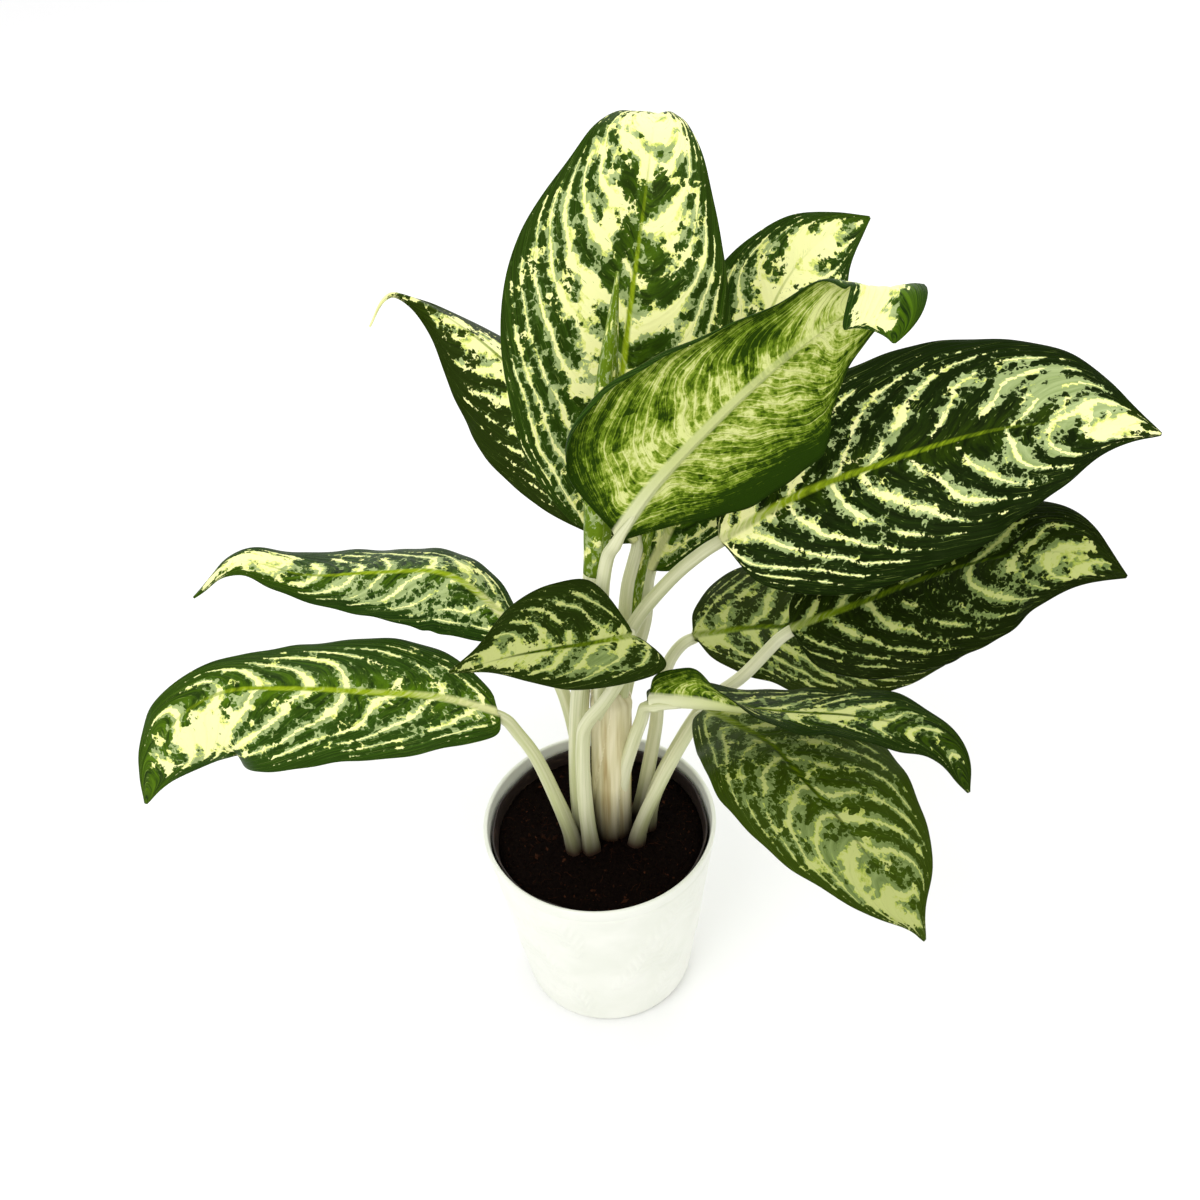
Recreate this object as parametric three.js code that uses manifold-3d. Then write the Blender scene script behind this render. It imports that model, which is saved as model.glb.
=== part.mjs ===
// A potted Chinese evergreen (aglaonema): a round cover pot, the thin nursery pot that stands in it,
// its potting soil, one short cane, twelve variegated leaves on long stalks and two leaves still rolled.
// Millimetres, Z up. The origin is the centre of the cover pot's flat foot, on the table.
import * as THREE from 'three';
import { mergeVertices } from 'three/addons/utils/BufferGeometryUtils.js';
import Module from 'manifold-3d';

const wasm = await Module();
wasm.setup();

// Driving dimensions.
const GAP = 0.3; // air left between pieces that touch
const COVER_POT = {
  height: 126, rimRadius: 65, footRadius: 50, wall: 2.5, floor: 4, footRound: 7, rimRound: 1.2,
};
const NURSERY_POT = { top: 121, bottom: COVER_POT.floor + GAP, rimRadius: 60.6, footRadius: 41, wall: 1.2 };
// The soil rises by the mound to its middle; the shoulder is a point on that slope, as parts of both.
const SOIL = { top: 113, mound: 3, sideGap: 0.4, shoulder: { radius: 0.6, rise: 0.7 } };
const ROOTED_Z = 96; // the cane and the outer leaf stalks end here, inside the soil
const CROWN_Z = 223; // the top of the cane, where most leaf stalks spread

// wayReach: the blade's rows stand square to the midrib's way between points this part of it apart.
const BLADE = { thickness: 1.2, stepsPerStation: 2, halfColumns: 2, wayReach: 0.1 };
// Places along a blade where its half widths are given, as parts of its length.
const STATIONS = [0, 0.04, 0.2, 0.4, 0.6, 0.8, 0.93, 1];
const HALF_WIDTH_AT_STALK = 2;
const HALF_WIDTH_AT_TIP = 0.8;
// A lobe is whole from this part of the widest half width outward, and is gone at this part of the length.
const LOBE = { wholeFrom: 0.8, fullness: 0.7, goneAt: 0.4 };
// Radii of a leaf stalk, and the part of the blade that it still runs along underneath.
const STALK = { base: 4.4, top: 3.2, end: 1.6, underBlade: 0.08 };
const ROD = { sides: 8, thinnest: 0.5 };
const STEPS = { stalk: 10, cane: 6, rolledLeaf: 14, potRound: 48, linerRound: 40, potEdge: 4 };

// A leaf is given by its stalk (up to the blade), its midrib (from the stalk to the tip), the direction
// that its upper face looks in at even steps along the blade, and its half widths at the stations.
// With the upper face towards the eye and the tip up, left is the left half of the blade.
// fold: how far each half rises from the midrib, in degrees, as [left, right] at even steps.
// bow: how far the margins hang back below that fold, in mm.
// lobes: how far each half's base reaches back past the end of the stalk, in mm, as [left, right].
const LEAVES = {
  leaf_back_upright: {
    stalk: [[5, 12, CROWN_Z], [6, 20, 262]],
    midrib: [[9, 35, 302], [17, 42, 339], [26, 54, 370], [35, 70, 413], [44, 88, 453], [49, 104, 472],
      [53, 124, 474], [56, 142, 466]],
    face: [[0.1, -1, 0.2], [0.1, -1, 0.25], [0.05, -1, 0.4], [0, -0.9, 0.6], [0, 0.2, 1]],
    left: [17, 46, 60, 56, 25, 6],
    right: [14, 38, 50, 41, 23, 7],
    fold: [[12, 12]],
    bow: 8,
  },
  leaf_back_left: {
    stalk: [[12, 12, CROWN_Z], [20, 24, 246], [24, 33, 266]],
    midrib: [[30, 46, 284], [10, 78, 307], [-11, 108, 330], [-32, 132, 346], [-57, 150, 361],
      [-81, 160, 372], [-91, 158, 372], [-100, 150, 360]],
    face: [[-0.2, -0.7, 0.6], [-0.2, -0.7, 0.6], [-0.3, -0.6, 0.7], [-0.3, -0.6, 0.7]],
    left: [12, 32, 42, 33, 9, 2],
    right: [12, 30, 34, 26, 8, 2],
    fold: [[8, -40], [5, -60], [0, -70], [0, -70]],
    bow: 4,
  },
  leaf_back_right: {
    stalk: [[21, 11, CROWN_Z], [32, 30, 244]],
    midrib: [[37, 54, 258], [61, 74, 295], [84, 98, 329], [103, 118, 357], [119, 134, 378],
      [139, 146, 392], [165, 158, 396]],
    face: [[-0.3, -0.8, 0.5]],
    left: [14, 36, 44, 41, 25, 9],
    right: [14, 32, 44, 42, 30, 12],
    fold: [[8, 8]],
    bow: 4,
  },
  leaf_inner_right: {
    stalk: [[6, -5, CROWN_Z], [8, -4, 262], [11, -2, 300]],
    midrib: [[17, -2, 324], [37, 0, 353], [63, 4, 380], [88, 8, 402], [112, 10, 421], [129, 6, 436],
      [138, -2, 444], [138, -12, 440], [135, -20, 429]],
    face: [[-0.1, 1, 0], [0, 1, -0.05], [0, 1, -0.05], [0, 1, -0.05], [0, 1, -0.05], [0, 1, 0],
      [0, 1, 0.1], [0.2, 0.1, 1], [0.1, -0.9, 0.4]],
    left: [10, 39, 52, 46, 20, 9],
    right: [5, 45, 40, 25, 20, 16],
    fold: [[5, 5]],
    bow: 2,
    lobes: [0, 12],
  },
  leaf_right_upper: {
    stalk: [[17, 2, CROWN_Z], [23, 16, 249], [45, 20, 279]],
    midrib: [[70, 22, 300], [109, 28, 319], [144, 32, 329], [173, 30, 340], [201, 24, 351],
      [227, 14, 359], [248, 2, 363], [263, -8, 364]],
    face: [[-0.3, -0.9, 1], [-0.2, -0.8, 1], [-0.1, -0.6, 1]],
    left: [16, 42, 51, 49, 34, 11],
    right: [32, 54, 57, 52, 34, 10],
    fold: [[8, 8]],
    bow: 8,
  },
  leaf_right_middle: {
    stalk: [[25, 1, ROOTED_Z], [32, 3, 140], [57, 12, 190], [82, 12, 217]],
    midrib: [[106, 18, 241], [142, 20, 253], [174, 14, 272], [203, 0, 293], [227, -16, 306],
      [249, -36, 306]],
    face: [[-0.2, -0.5, 1]],
    left: [16, 36, 40, 35, 24, 9],
    right: [26, 42, 46, 43, 30, 10],
    fold: [[8, 8]],
    bow: 8,
  },
  leaf_right_lower: {
    stalk: [[20, 13, ROOTED_Z], [26, 11, 131], [34, 13, 180], [37, 15, 205], [45, 26, 220]],
    midrib: [[58, 36, 225], [96, 50, 214], [137, 60, 199], [176, 62, 184], [212, 58, 174]],
    face: [[-0.1, -0.4, 1]],
    left: [16, 36, 44, 42, 30, 12],
    right: [18, 34, 42, 40, 28, 12],
    fold: [[8, 8]],
    bow: 8,
  },
  leaf_front_small: {
    stalk: [[-5, -12, ROOTED_Z], [-7, -12, 156], [-5, -13, 204], [-1, -14, 219], [8, -16, 234],
      [17, -19, 255]],
    midrib: [[22, -22, 282], [3, -26, 283], [-15, -30, 285], [-35, -33, 285], [-64, -37, 282]],
    face: [[-0.1, -1, 0.65]],
    left: [17, 22.5, 20, 13, 5, 2],
    right: [8, 29, 30.5, 24, 10, 3.5],
    fold: [[6, 6]],
    bow: 3,
    lobes: [24, 4],
  },
  leaf_left_upper: {
    stalk: [[-5, 13, ROOTED_Z], [-8, 13, 165], [-13, 15, 209], [-22, 26, 226]],
    midrib: [[-35, 42, 233], [-54, 54, 252], [-74, 64, 260], [-108, 74, 255], [-147, 80, 252],
      [-182, 82, 263], [-209, 76, 246]],
    face: [[0, -0.3, 1]],
    left: [16, 30, 26.5, 16.5, 8.5, 3],
    right: [12, 24, 30, 32, 17, 6],
    fold: [[-22, -28]],
    bow: 4,
  },
  leaf_left_lower: {
    stalk: [[-14, -12, ROOTED_Z], [-17, -10, 130], [-29, -4, 178], [-39, 3, 196]],
    midrib: [[-49, 8, 208], [-78, 12, 218], [-113, 14, 224], [-151, 8, 237], [-181, -2, 248],
      [-206, -12, 240], [-221, -18, 217], [-231, -22, 193]],
    face: [[0, -0.3, 1], [0, -0.4, 1], [-0.1, -0.5, 1], [-0.3, -1, 0.3], [-0.2, -1, 0.1]],
    left: [16, 32, 38, 40, 32, 9],
    right: [14, 34, 33, 18, 13, 6],
    fold: [[15, 5], [10, 0], [0, -10], [-15, -5], [-10, -5]],
    bow: 12,
    lobes: [16, 0],
  },
  leaf_front_right_twisted: {
    stalk: [[19, -8, 165], [21, -10, 192], [25, -15, 216]],
    midrib: [[30, -22, 238], [58, -32, 242], [90, -48, 249], [120, -62, 257], [147, -74, 258],
      [162, -84, 252], [169, -96, 236]],
    face: [[0.1, 0.5, 1], [0.1, 0.5, 1], [0.1, 0.2, 1], [0.1, -0.3, 1], [0.3, -0.7, 0.7]],
    left: [14, 26, 30, 22, 11, 6],
    right: [14, 19, 15, 15, 12, 6],
    fold: [[10, 100], [10, 95], [8, 40], [5, 5], [0, -5], [0, 0], [0, 0], [0, 0], [0, 0]],
    bow: 3,
    lobes: [14, 4],
  },
  leaf_front_right_low: {
    stalk: [[18, -10, ROOTED_Z], [22, -9, 125], [36, -4, 160], [52, 0, 192]],
    midrib: [[60, 0, 206], [85, -42, 222], [97, -70, 226], [111, -97, 224], [125, -120, 214],
      [136, -134, 200], [143, -140, 188]],
    face: [[0.2, -0.4, 1]],
    left: [20, 34, 46, 42, 30, 9],
    right: [14, 31, 41, 39, 24, 6],
    fold: [[8, 8]],
    bow: 5,
  },
};

// The cane and the rolled leaves: a path up their middle, and the radius at each of its points.
const CANE = { path: [[7, 2, ROOTED_Z], [8, 2, 150], [11, 3, CROWN_Z - GAP]], radii: [10.5, 11, 11.5] };
const ROLLED_LEAVES = {
  rolled_leaf_tall: {
    path: [[-9.5, -2, ROOTED_Z], [-9, 0, 160], [-5, 2, 218], [5, 8, 280], [10, 14, 319], [13, 20, 349],
      [19, 28, 391], [27, 38, 440]],
    radii: [5.5, 5.5, 5, 5, 7.5, 7, 5.5, 0.8],
  },
  rolled_leaf_short: {
    path: [[18, 21, CROWN_Z], [25, 33, 242], [32, 43, 269], [38, 51, 292], [42, 55, 306]],
    radii: [3, 3.2, 3.2, 2.6, 0.8],
  },
};

const SURFACES = {
  glazedPot: { color: 0xf2f2ec, roughness: 0.3 },
  blackPlastic: { color: 0x2a2320, roughness: 0.5 },
  soil: { color: 0x1d1612, roughness: 0.95 },
  cane: { color: 0xd8cfa0, roughness: 0.5 },
  leaf: { color: 0x4f7a35, roughness: 0.45 },
  rolledLeaf: { color: 0x5d7f3e, roughness: 0.45 },
};

function vector(point) {
  return new THREE.Vector3(...point);
}

function curveThrough(points) {
  return new THREE.CatmullRomCurve3(points.map(vector), false, 'catmullrom', 0.5);
}

// A value at part t of a list of evenly spaced vectors; a list of one is the same all along.
function along(points, t) {
  return points.length === 1 ? vector(points[0]) : curveThrough(points).getPoint(t);
}

// A closed body through rings of points, with each end closed to its ring's centre.
function loft(rings) {
  const sides = rings[0].length;
  const positions = rings.flat().flatMap((point) => point.toArray());
  const triangles = [];
  for (let row = 0; row < rings.length - 1; row += 1) {
    for (let side = 0; side < sides; side += 1) {
      const next = (side + 1) % sides;
      const a = row * sides + side;
      const b = row * sides + next;
      triangles.push(a, b, b + sides, a, b + sides, a + sides);
    }
  }
  const closeEnd = (row, flip) => {
    const centre = new THREE.Vector3();
    rings[row].forEach((point) => centre.addScaledVector(point, 1 / sides));
    const middle = positions.length / 3;
    positions.push(...centre.toArray());
    for (let side = 0; side < sides; side += 1) {
      const a = row * sides + side;
      const b = row * sides + ((side + 1) % sides);
      triangles.push(...(flip ? [middle, a, b] : [middle, b, a]));
    }
  };
  closeEnd(0, false);
  closeEnd(rings.length - 1, true);
  const geometry = new THREE.BufferGeometry();
  geometry.setAttribute('position', new THREE.Float32BufferAttribute(positions, 3));
  geometry.setIndex(triangles);
  return geometry;
}

// A round rod along a path whose radius runs through the given radii.
function rod(path, radii, steps, grow = 0) {
  const curve = curveThrough(path);
  const frames = curve.computeFrenetFrames(steps);
  const sizes = new THREE.SplineCurve(radii.map((radius, i) => new THREE.Vector2(i, radius)));
  const rings = [];
  for (let i = 0; i <= steps; i += 1) {
    const t = i / steps;
    const centre = curve.getPointAt(t);
    const radius = Math.max(sizes.getPoint(curve.getUtoTmapping(t)).y, ROD.thinnest) + grow;
    const ring = [];
    for (let side = 0; side < ROD.sides; side += 1) {
      const angle = (side / ROD.sides) * Math.PI * 2;
      ring.push(centre.clone()
        .addScaledVector(frames.normals[i], radius * Math.cos(angle))
        .addScaledVector(frames.binormals[i], radius * Math.sin(angle)));
    }
    rings.push(ring);
  }
  return loft(rings);
}

function marginCurve(halfWidths) {
  const widths = [HALF_WIDTH_AT_STALK, ...halfWidths, HALF_WIDTH_AT_TIP];
  return new THREE.SplineCurve(STATIONS.map((station, i) => new THREE.Vector2(station, widths[i])));
}

// The blade as a closed thin body: each ring runs across the upper face and back across the underside.
function blade(leaf, grow = 0) {
  const midrib = curveThrough(leaf.midrib);
  const margins = { left: marginCurve(leaf.left), right: marginCurve(leaf.right) };
  const widest = Math.max(...leaf.left, ...leaf.right);
  const halfThickness = BLADE.thickness / 2 + grow;
  const rows = (STATIONS.length - 1) * BLADE.stepsPerStation;
  const rings = [];
  for (let row = 0; row <= rows; row += 1) {
    const t = row / rows;
    const station = THREE.MathUtils.clamp(margins.left.getPoint(t).x, 0, 1);
    const centre = midrib.getPointAt(station);
    const ahead = midrib.getPointAt(Math.min(station + BLADE.wayReach, 1));
    const behind = midrib.getPointAt(Math.max(station - BLADE.wayReach, 0));
    const tangent = ahead.sub(behind).normalize();
    const lobeLeft = 1 - THREE.MathUtils.smoothstep(station, 0, LOBE.goneAt);
    const up = along(leaf.face, station);
    up.addScaledVector(tangent, -up.dot(tangent)).normalize();
    const side = tangent.clone().cross(up);
    const folds = along(leaf.fold.map(([left, right]) => [left, right, 0]), station);
    const upper = [];
    for (let column = -BLADE.halfColumns; column <= BLADE.halfColumns; column += 1) {
      const isRight = column >= 0;
      const halfWidth = (isRight ? margins.right : margins.left).getPoint(t).y + grow;
      const out = (Math.abs(column) / BLADE.halfColumns) * halfWidth;
      const fold = THREE.MathUtils.degToRad(isRight ? folds.y : folds.x);
      const rise = out * Math.sin(fold) - leaf.bow * (out / widest) ** 2;
      const lobe = leaf.lobes ? leaf.lobes[isRight ? 1 : 0] : 0;
      const reach = Math.min(out / (LOBE.wholeFrom * widest), 1) ** LOBE.fullness;
      upper.push(centre.clone()
        .addScaledVector(side, Math.sign(column) * out * Math.cos(fold))
        .addScaledVector(up, rise)
        .addScaledVector(tangent, -lobe * reach * lobeLeft));
    }
    const top = upper.map((point) => point.clone().addScaledVector(up, halfThickness));
    const bottom = upper.map((point) => point.clone().addScaledVector(up, -halfThickness));
    rings.push([...top, ...bottom.reverse()]);
  }
  return loft(rings);
}

function toSolid(geometry) {
  geometry.deleteAttribute('normal');
  geometry.deleteAttribute('uv');
  const merged = mergeVertices(geometry);
  return new wasm.Manifold(new wasm.Mesh({
    numProp: 3,
    vertProperties: new Float32Array(merged.attributes.position.array),
    triVerts: new Uint32Array(merged.index.array),
  }));
}

function toGeometry(solid) {
  const mesh = solid.getMesh();
  const geometry = new THREE.BufferGeometry();
  geometry.setAttribute('position', new THREE.BufferAttribute(new Float32Array(mesh.vertProperties), 3));
  geometry.setIndex(new THREE.BufferAttribute(new Uint32Array(mesh.triVerts), 1));
  return geometry;
}

// The stalk runs up to the blade and a little way on under it, thinning as it goes.
function leafSolid(leaf, grow = 0) {
  const end = curveThrough(leaf.midrib).getPointAt(STALK.underBlade).toArray();
  const path = [...leaf.stalk, leaf.midrib[0], end];
  const bladeStart = leaf.stalk.length;
  const radii = path.map((point, i) => THREE.MathUtils.lerp(STALK.base, STALK.top, i / bladeStart));
  radii[path.length - 1] = STALK.end;
  const stalk = toSolid(rod(path, radii, STEPS.stalk, grow));
  return stalk.add(toSolid(blade(leaf, grow)));
}

function coverPotGeometry() {
  const { height, rimRadius, footRadius, wall, floor, footRound, rimRound } = COVER_POT;
  const outline = new THREE.Path();
  outline.moveTo(0, 0);
  outline.lineTo(footRadius - footRound, 0);
  outline.quadraticCurveTo(footRadius, 0, footRadius, footRound);
  outline.lineTo(rimRadius, height - rimRound);
  outline.quadraticCurveTo(rimRadius, height, rimRadius - wall / 2, height);
  outline.quadraticCurveTo(rimRadius - wall, height, rimRadius - wall, height - rimRound);
  outline.lineTo(footRadius - wall, floor + footRound);
  outline.quadraticCurveTo(footRadius - wall, floor, footRadius - wall - footRound, floor);
  outline.lineTo(0, floor);
  return new THREE.LatheGeometry(outline.getPoints(STEPS.potEdge), STEPS.potRound);
}

function lathe(outline) {
  return new THREE.LatheGeometry(outline.map(([x, y]) => new THREE.Vector2(x, y)), STEPS.linerRound);
}

function nurseryPotGeometry() {
  const { top, bottom, rimRadius, footRadius, wall } = NURSERY_POT;
  const outline = [
    [0, bottom], [footRadius, bottom], [rimRadius, top], [rimRadius - wall, top],
    [footRadius - wall, bottom + wall], [0, bottom + wall],
  ];
  return lathe(outline);
}

function nurseryInnerRadius(z) {
  const { top, bottom, rimRadius, footRadius, wall } = NURSERY_POT;
  return THREE.MathUtils.mapLinear(z, bottom, top, footRadius, rimRadius) - wall;
}

function soilGeometry() {
  const floor = NURSERY_POT.bottom + NURSERY_POT.wall + GAP;
  const edge = nurseryInnerRadius(SOIL.top) - SOIL.sideGap;
  const outline = [
    [0, floor],
    [nurseryInnerRadius(floor) - SOIL.sideGap, floor],
    [edge, SOIL.top],
    [edge * SOIL.shoulder.radius, SOIL.top + SOIL.mound * SOIL.shoulder.rise],
    [0, SOIL.top + SOIL.mound],
  ];
  return lathe(outline);
}

// LatheGeometry turns about Y; the pots stand along Z.
function upright(geometry) {
  return geometry.rotateX(Math.PI / 2);
}

const group = new THREE.Group();

function addPiece(name, solid, surface) {
  const material = new THREE.MeshStandardMaterial({ ...surface, metalness: 0, flatShading: true });
  const mesh = new THREE.Mesh(toGeometry(solid), material);
  mesh.name = name;
  group.add(mesh);
}

// Plant pieces in the order in which they give way: each is trimmed to leave a gap to those before it.
const growth = [
  {
    name: 'cane',
    surface: SURFACES.cane,
    make: (grow) => toSolid(rod(CANE.path, CANE.radii, STEPS.cane, grow)),
  },
];
for (const [name, { path, radii }] of Object.entries(ROLLED_LEAVES)) {
  growth.push({
    name,
    surface: SURFACES.rolledLeaf,
    make: (grow) => toSolid(rod(path, radii, STEPS.rolledLeaf, grow)),
  });
}
for (const [name, leaf] of Object.entries(LEAVES)) {
  growth.push({ name, surface: SURFACES.leaf, make: (grow) => leafSolid(leaf, grow) });
}

let soil = toSolid(upright(soilGeometry()));
const earlier = [];
for (const { name, surface, make } of growth) {
  let solid = make(0);
  for (const other of earlier) {
    solid = solid.subtract(other);
  }
  const withGap = make(GAP);
  soil = soil.subtract(withGap);
  earlier.push(withGap);
  addPiece(name, solid, surface);
}
addPiece('potting_soil', soil, SURFACES.soil);
addPiece('nursery_pot', toSolid(upright(nurseryPotGeometry())), SURFACES.blackPlastic);
addPiece('cover_pot', toSolid(upright(coverPotGeometry())), SURFACES.glazedPot);

export default group;
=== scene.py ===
import random
from math import cos, pi, radians, sin

import bpy
import numpy as np
from mathutils import Matrix, Vector, noise


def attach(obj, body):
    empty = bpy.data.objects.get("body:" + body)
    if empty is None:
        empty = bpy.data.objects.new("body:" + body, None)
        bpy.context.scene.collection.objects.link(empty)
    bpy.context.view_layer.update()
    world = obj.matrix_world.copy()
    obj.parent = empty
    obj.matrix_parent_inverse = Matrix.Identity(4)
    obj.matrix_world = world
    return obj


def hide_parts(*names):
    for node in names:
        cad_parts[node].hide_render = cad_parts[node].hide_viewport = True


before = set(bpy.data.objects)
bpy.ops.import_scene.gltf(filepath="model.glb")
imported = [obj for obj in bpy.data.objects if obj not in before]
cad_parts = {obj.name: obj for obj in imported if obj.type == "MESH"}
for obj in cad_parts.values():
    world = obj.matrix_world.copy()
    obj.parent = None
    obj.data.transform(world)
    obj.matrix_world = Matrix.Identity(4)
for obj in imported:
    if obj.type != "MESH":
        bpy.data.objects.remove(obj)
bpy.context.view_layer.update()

# Cover pot.
# A cachepot of white earthenware, slip-cast with a plain rim band and low feathery fronds on its wall,
# then dipped in a clear glaze. It stands on its own flat foot, and the origin is the middle of that foot.
MM = 0.001  # sizes are in millimetres and become metres here
POT_HEIGHT, POT_RIM, POT_FOOT, POT_WALL, POT_FLOOR, POT_FOOT_ROUND = 126, 65, 50, 2.5, 4, 7
POT_SLOPE = (POT_RIM - POT_FOOT) / (POT_HEIGHT - 1.2 - POT_FOOT_ROUND)  # how much the wall leans out
POT_LIP = POT_WALL / 2  # radius of its rounded edge
POT_BAND = 116  # height where the plain rim band begins
FROND_LENGTH, FROND_HALF_WIDTH, FROND_BARB, FROND_RELIEF = 52, 11, 6.5, 0.55
FROND_ROWS, FRONDS_ROUND = (4, 40, 76), 10  # heights where the rows begin, and how many fronds are in each
FROND_LEANS, FROND_SWAY = (-22, 28), 5  # by turns, in degrees, and how far its stem is bowed
WALL_MIDDLE = 58  # the wall's radius halfway up, on which the fronds are laid out


def linear(colour):
    """An sRGB hex colour as the linear values that a shader takes."""
    parts = [int(colour[i:i + 2], 16) / 255 for i in (1, 3, 5)]
    return (*[c / 12.92 if c <= 0.04045 else ((c + 0.055) / 1.055) ** 2.4 for c in parts], 1.0)


def start_material(name):
    """A new material with no nodes, and the one function that adds them to it."""
    material = bpy.data.materials.new(name)
    material.use_nodes = True
    tree = material.node_tree
    tree.nodes.clear()

    def add(kind, inputs=None, out=0, stops=(), **settings):
        """Adds a node with its settings, its inputs' values, hex colours or links, and a ramp's stops.

        It gives back the node's first output, or the one that out names, or all of them where out is None.
        """
        new = tree.nodes.new("ShaderNode" + kind)
        for setting, value in settings.items():
            setattr(new, setting, value)
        for socket, value in (inputs or {}).items():
            if isinstance(value, bpy.types.NodeSocket):
                tree.links.new(value, new.inputs[socket])
            else:
                new.inputs[socket].default_value = linear(value) if isinstance(value, str) else value
        if stops:
            marks = new.color_ramp.elements
            marks[0].position, marks[1].position = stops[0][0], stops[-1][0]
            for at, _ in stops[1:-1]:
                marks.new(at)
            for mark, (_, colour) in zip(marks, stops):
                mark.color = linear(colour) if isinstance(colour, str) else colour
        return new.outputs if out is None else new.outputs[out]

    return material, add


def into_scene(name, data):
    """A new object in the scene that shows this mesh, light or camera."""
    new = bpy.data.objects.new(name, data)
    bpy.context.scene.collection.objects.link(new)
    return new


def smoothstep(low, high, value):
    """From 0 at low to 1 at high, with a soft start and end."""
    part = np.clip((value - low) / (high - low), 0, 1)
    return part * part * (3 - 2 * part)


def turned(profile, sides):
    """Rings of a body of revolution about Z through (radius, height) points."""
    angles = np.arange(sides) * 2 * pi / sides
    radius, height = np.hsplit(np.asarray(profile, float), 2)
    return np.stack([radius * np.cos(angles), radius * np.sin(angles), height + 0 * angles], axis=2)


def skin(name, rings, materials, notes=None, ring_slots=None):
    """A closed body over rings of points in mm.

    notes are named vectors kept at each point, and ring_slots says which of the materials each face of a
    ring takes.
    """
    def with_end_middles(values):
        values = np.asarray(values, float)
        return np.vstack([values.reshape(-1, 3), values[0].mean(0), values[-1].mean(0)])

    rows, sides = np.shape(rings)[:2]
    index = np.arange(rows * sides).reshape(rows, sides)
    after = np.roll(index, -1, axis=1)
    faces = np.stack([index[:-1], after[:-1], after[1:], index[1:]], axis=2).reshape(-1, 4).tolist()
    faces += [(rows * sides, b, a) for a, b in zip(index[0].tolist(), after[0].tolist())]
    faces += [(rows * sides + 1, a, b) for a, b in zip(index[-1].tolist(), after[-1].tolist())]
    slots = (ring_slots or [0] * sides) * (rows - 1) + [0] * (2 * sides)
    mesh = bpy.data.meshes.new(name)
    mesh.from_pydata((with_end_middles(rings) * MM).tolist(), [], faces)
    for label, values in (notes or {}).items():
        note = mesh.attributes.new(label, "FLOAT_VECTOR", "POINT")
        note.data.foreach_set("vector", with_end_middles(values).ravel())
    for material in materials:
        mesh.materials.append(material)
    mesh.polygons.foreach_set("use_smooth", [True] * len(faces))
    mesh.polygons.foreach_set("material_index", slots)
    mesh.update()
    return into_scene(name, mesh)


def pot_radius(height):
    """The cover pot's outer radius at a height on its wall."""
    return POT_FOOT + POT_SLOPE * (height - POT_FOOT_ROUND)


def frond_relief(around, height):
    """How far the moulded fronds stand proud, for a place given in mm around the wall and up it."""
    relief = np.zeros_like(around)
    full_turn = 2 * pi * WALL_MIDDLE
    for row, base in enumerate(FROND_ROWS):
        for column in range(FRONDS_ROUND):
            lean = radians(FROND_LEANS[(row + column) % 2])
            middle = full_turn * (column + 0.5 * (row % 2)) / FRONDS_ROUND
            across = (around - middle + full_turn / 2) % full_turn - full_turn / 2
            up = height - base
            along_stem = up * cos(lean) + across * sin(lean)
            part = np.clip(along_stem / FROND_LENGTH, 0, 1)
            bow = FROND_SWAY * np.sin(along_stem / FROND_LENGTH * pi)
            off_stem = across * cos(lean) - up * sin(lean) - bow
            reach = FROND_HALF_WIDTH * np.sin(part * pi) ** 0.6 + 0.01
            barb = 0.5 + 0.5 * np.cos(2 * pi * (along_stem - 1.1 * np.abs(off_stem)) / FROND_BARB)
            body = smoothstep(1.0, 0.55, np.abs(off_stem) / reach) * (part > 0) * (part < 1)
            stem = np.exp(-(off_stem / 0.8) ** 2) * smoothstep(0, 0.1, part) * smoothstep(1, 0.8, part)
            relief = np.maximum(relief, FROND_RELIEF * np.maximum(body * (0.25 + 0.75 * barb), stem))
    return relief


under_foot = [(20, 0), (36, 0)]
foot_curve = [
    (POT_FOOT - POT_FOOT_ROUND + POT_FOOT_ROUND * (2 * t * (1 - t) + t * t), POT_FOOT_ROUND * t * t)
    for t in np.linspace(0, 1, 10)
]
outer_wall = [(pot_radius(h), h) for h in np.linspace(POT_FOOT_ROUND, POT_BAND, 108)[1:]]
rim_band = [(pot_radius(h) + step, h) for h, step in (
    (116.6, -0.25), (117.4, -0.45), (118.2, -0.35), (118.9, -0.05), (119.6, 0.1), (121, 0.1), (123, 0.05))]
lip = [(POT_RIM - POT_LIP + POT_LIP * cos(a), POT_HEIGHT - POT_LIP + POT_LIP * sin(a))
       for a in np.linspace(0, pi, 12)]
inner_wall = [(pot_radius(h) - POT_WALL, h) for h in np.linspace(122, 14, 24)]
inner_floor = [(46, 8), (44, 5.5), (40, 4.2), (36, POT_FLOOR), (12, POT_FLOOR)]
pot_profile = under_foot + foot_curve + outer_wall + rim_band + lip + inner_wall + inner_floor
pot_rings = turned(pot_profile, 540)
wall_start = len(under_foot + foot_curve)
on_wall = np.zeros((len(pot_profile), 1))
on_wall[wall_start:wall_start + len(outer_wall)] = 1
heights = pot_rings[..., 2]
wall_fade = smoothstep(10, 17, heights) * smoothstep(POT_BAND - 0.5, POT_BAND - 6, heights) * on_wall
angle = np.arctan2(pot_rings[..., 1], pot_rings[..., 0])
pot_relief = frond_relief(WALL_MIDDLE * (angle + pi), heights) * wall_fade
pot_rings[..., :2] += pot_relief[..., None] * np.stack([np.cos(angle), np.sin(angle)], axis=2)

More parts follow.
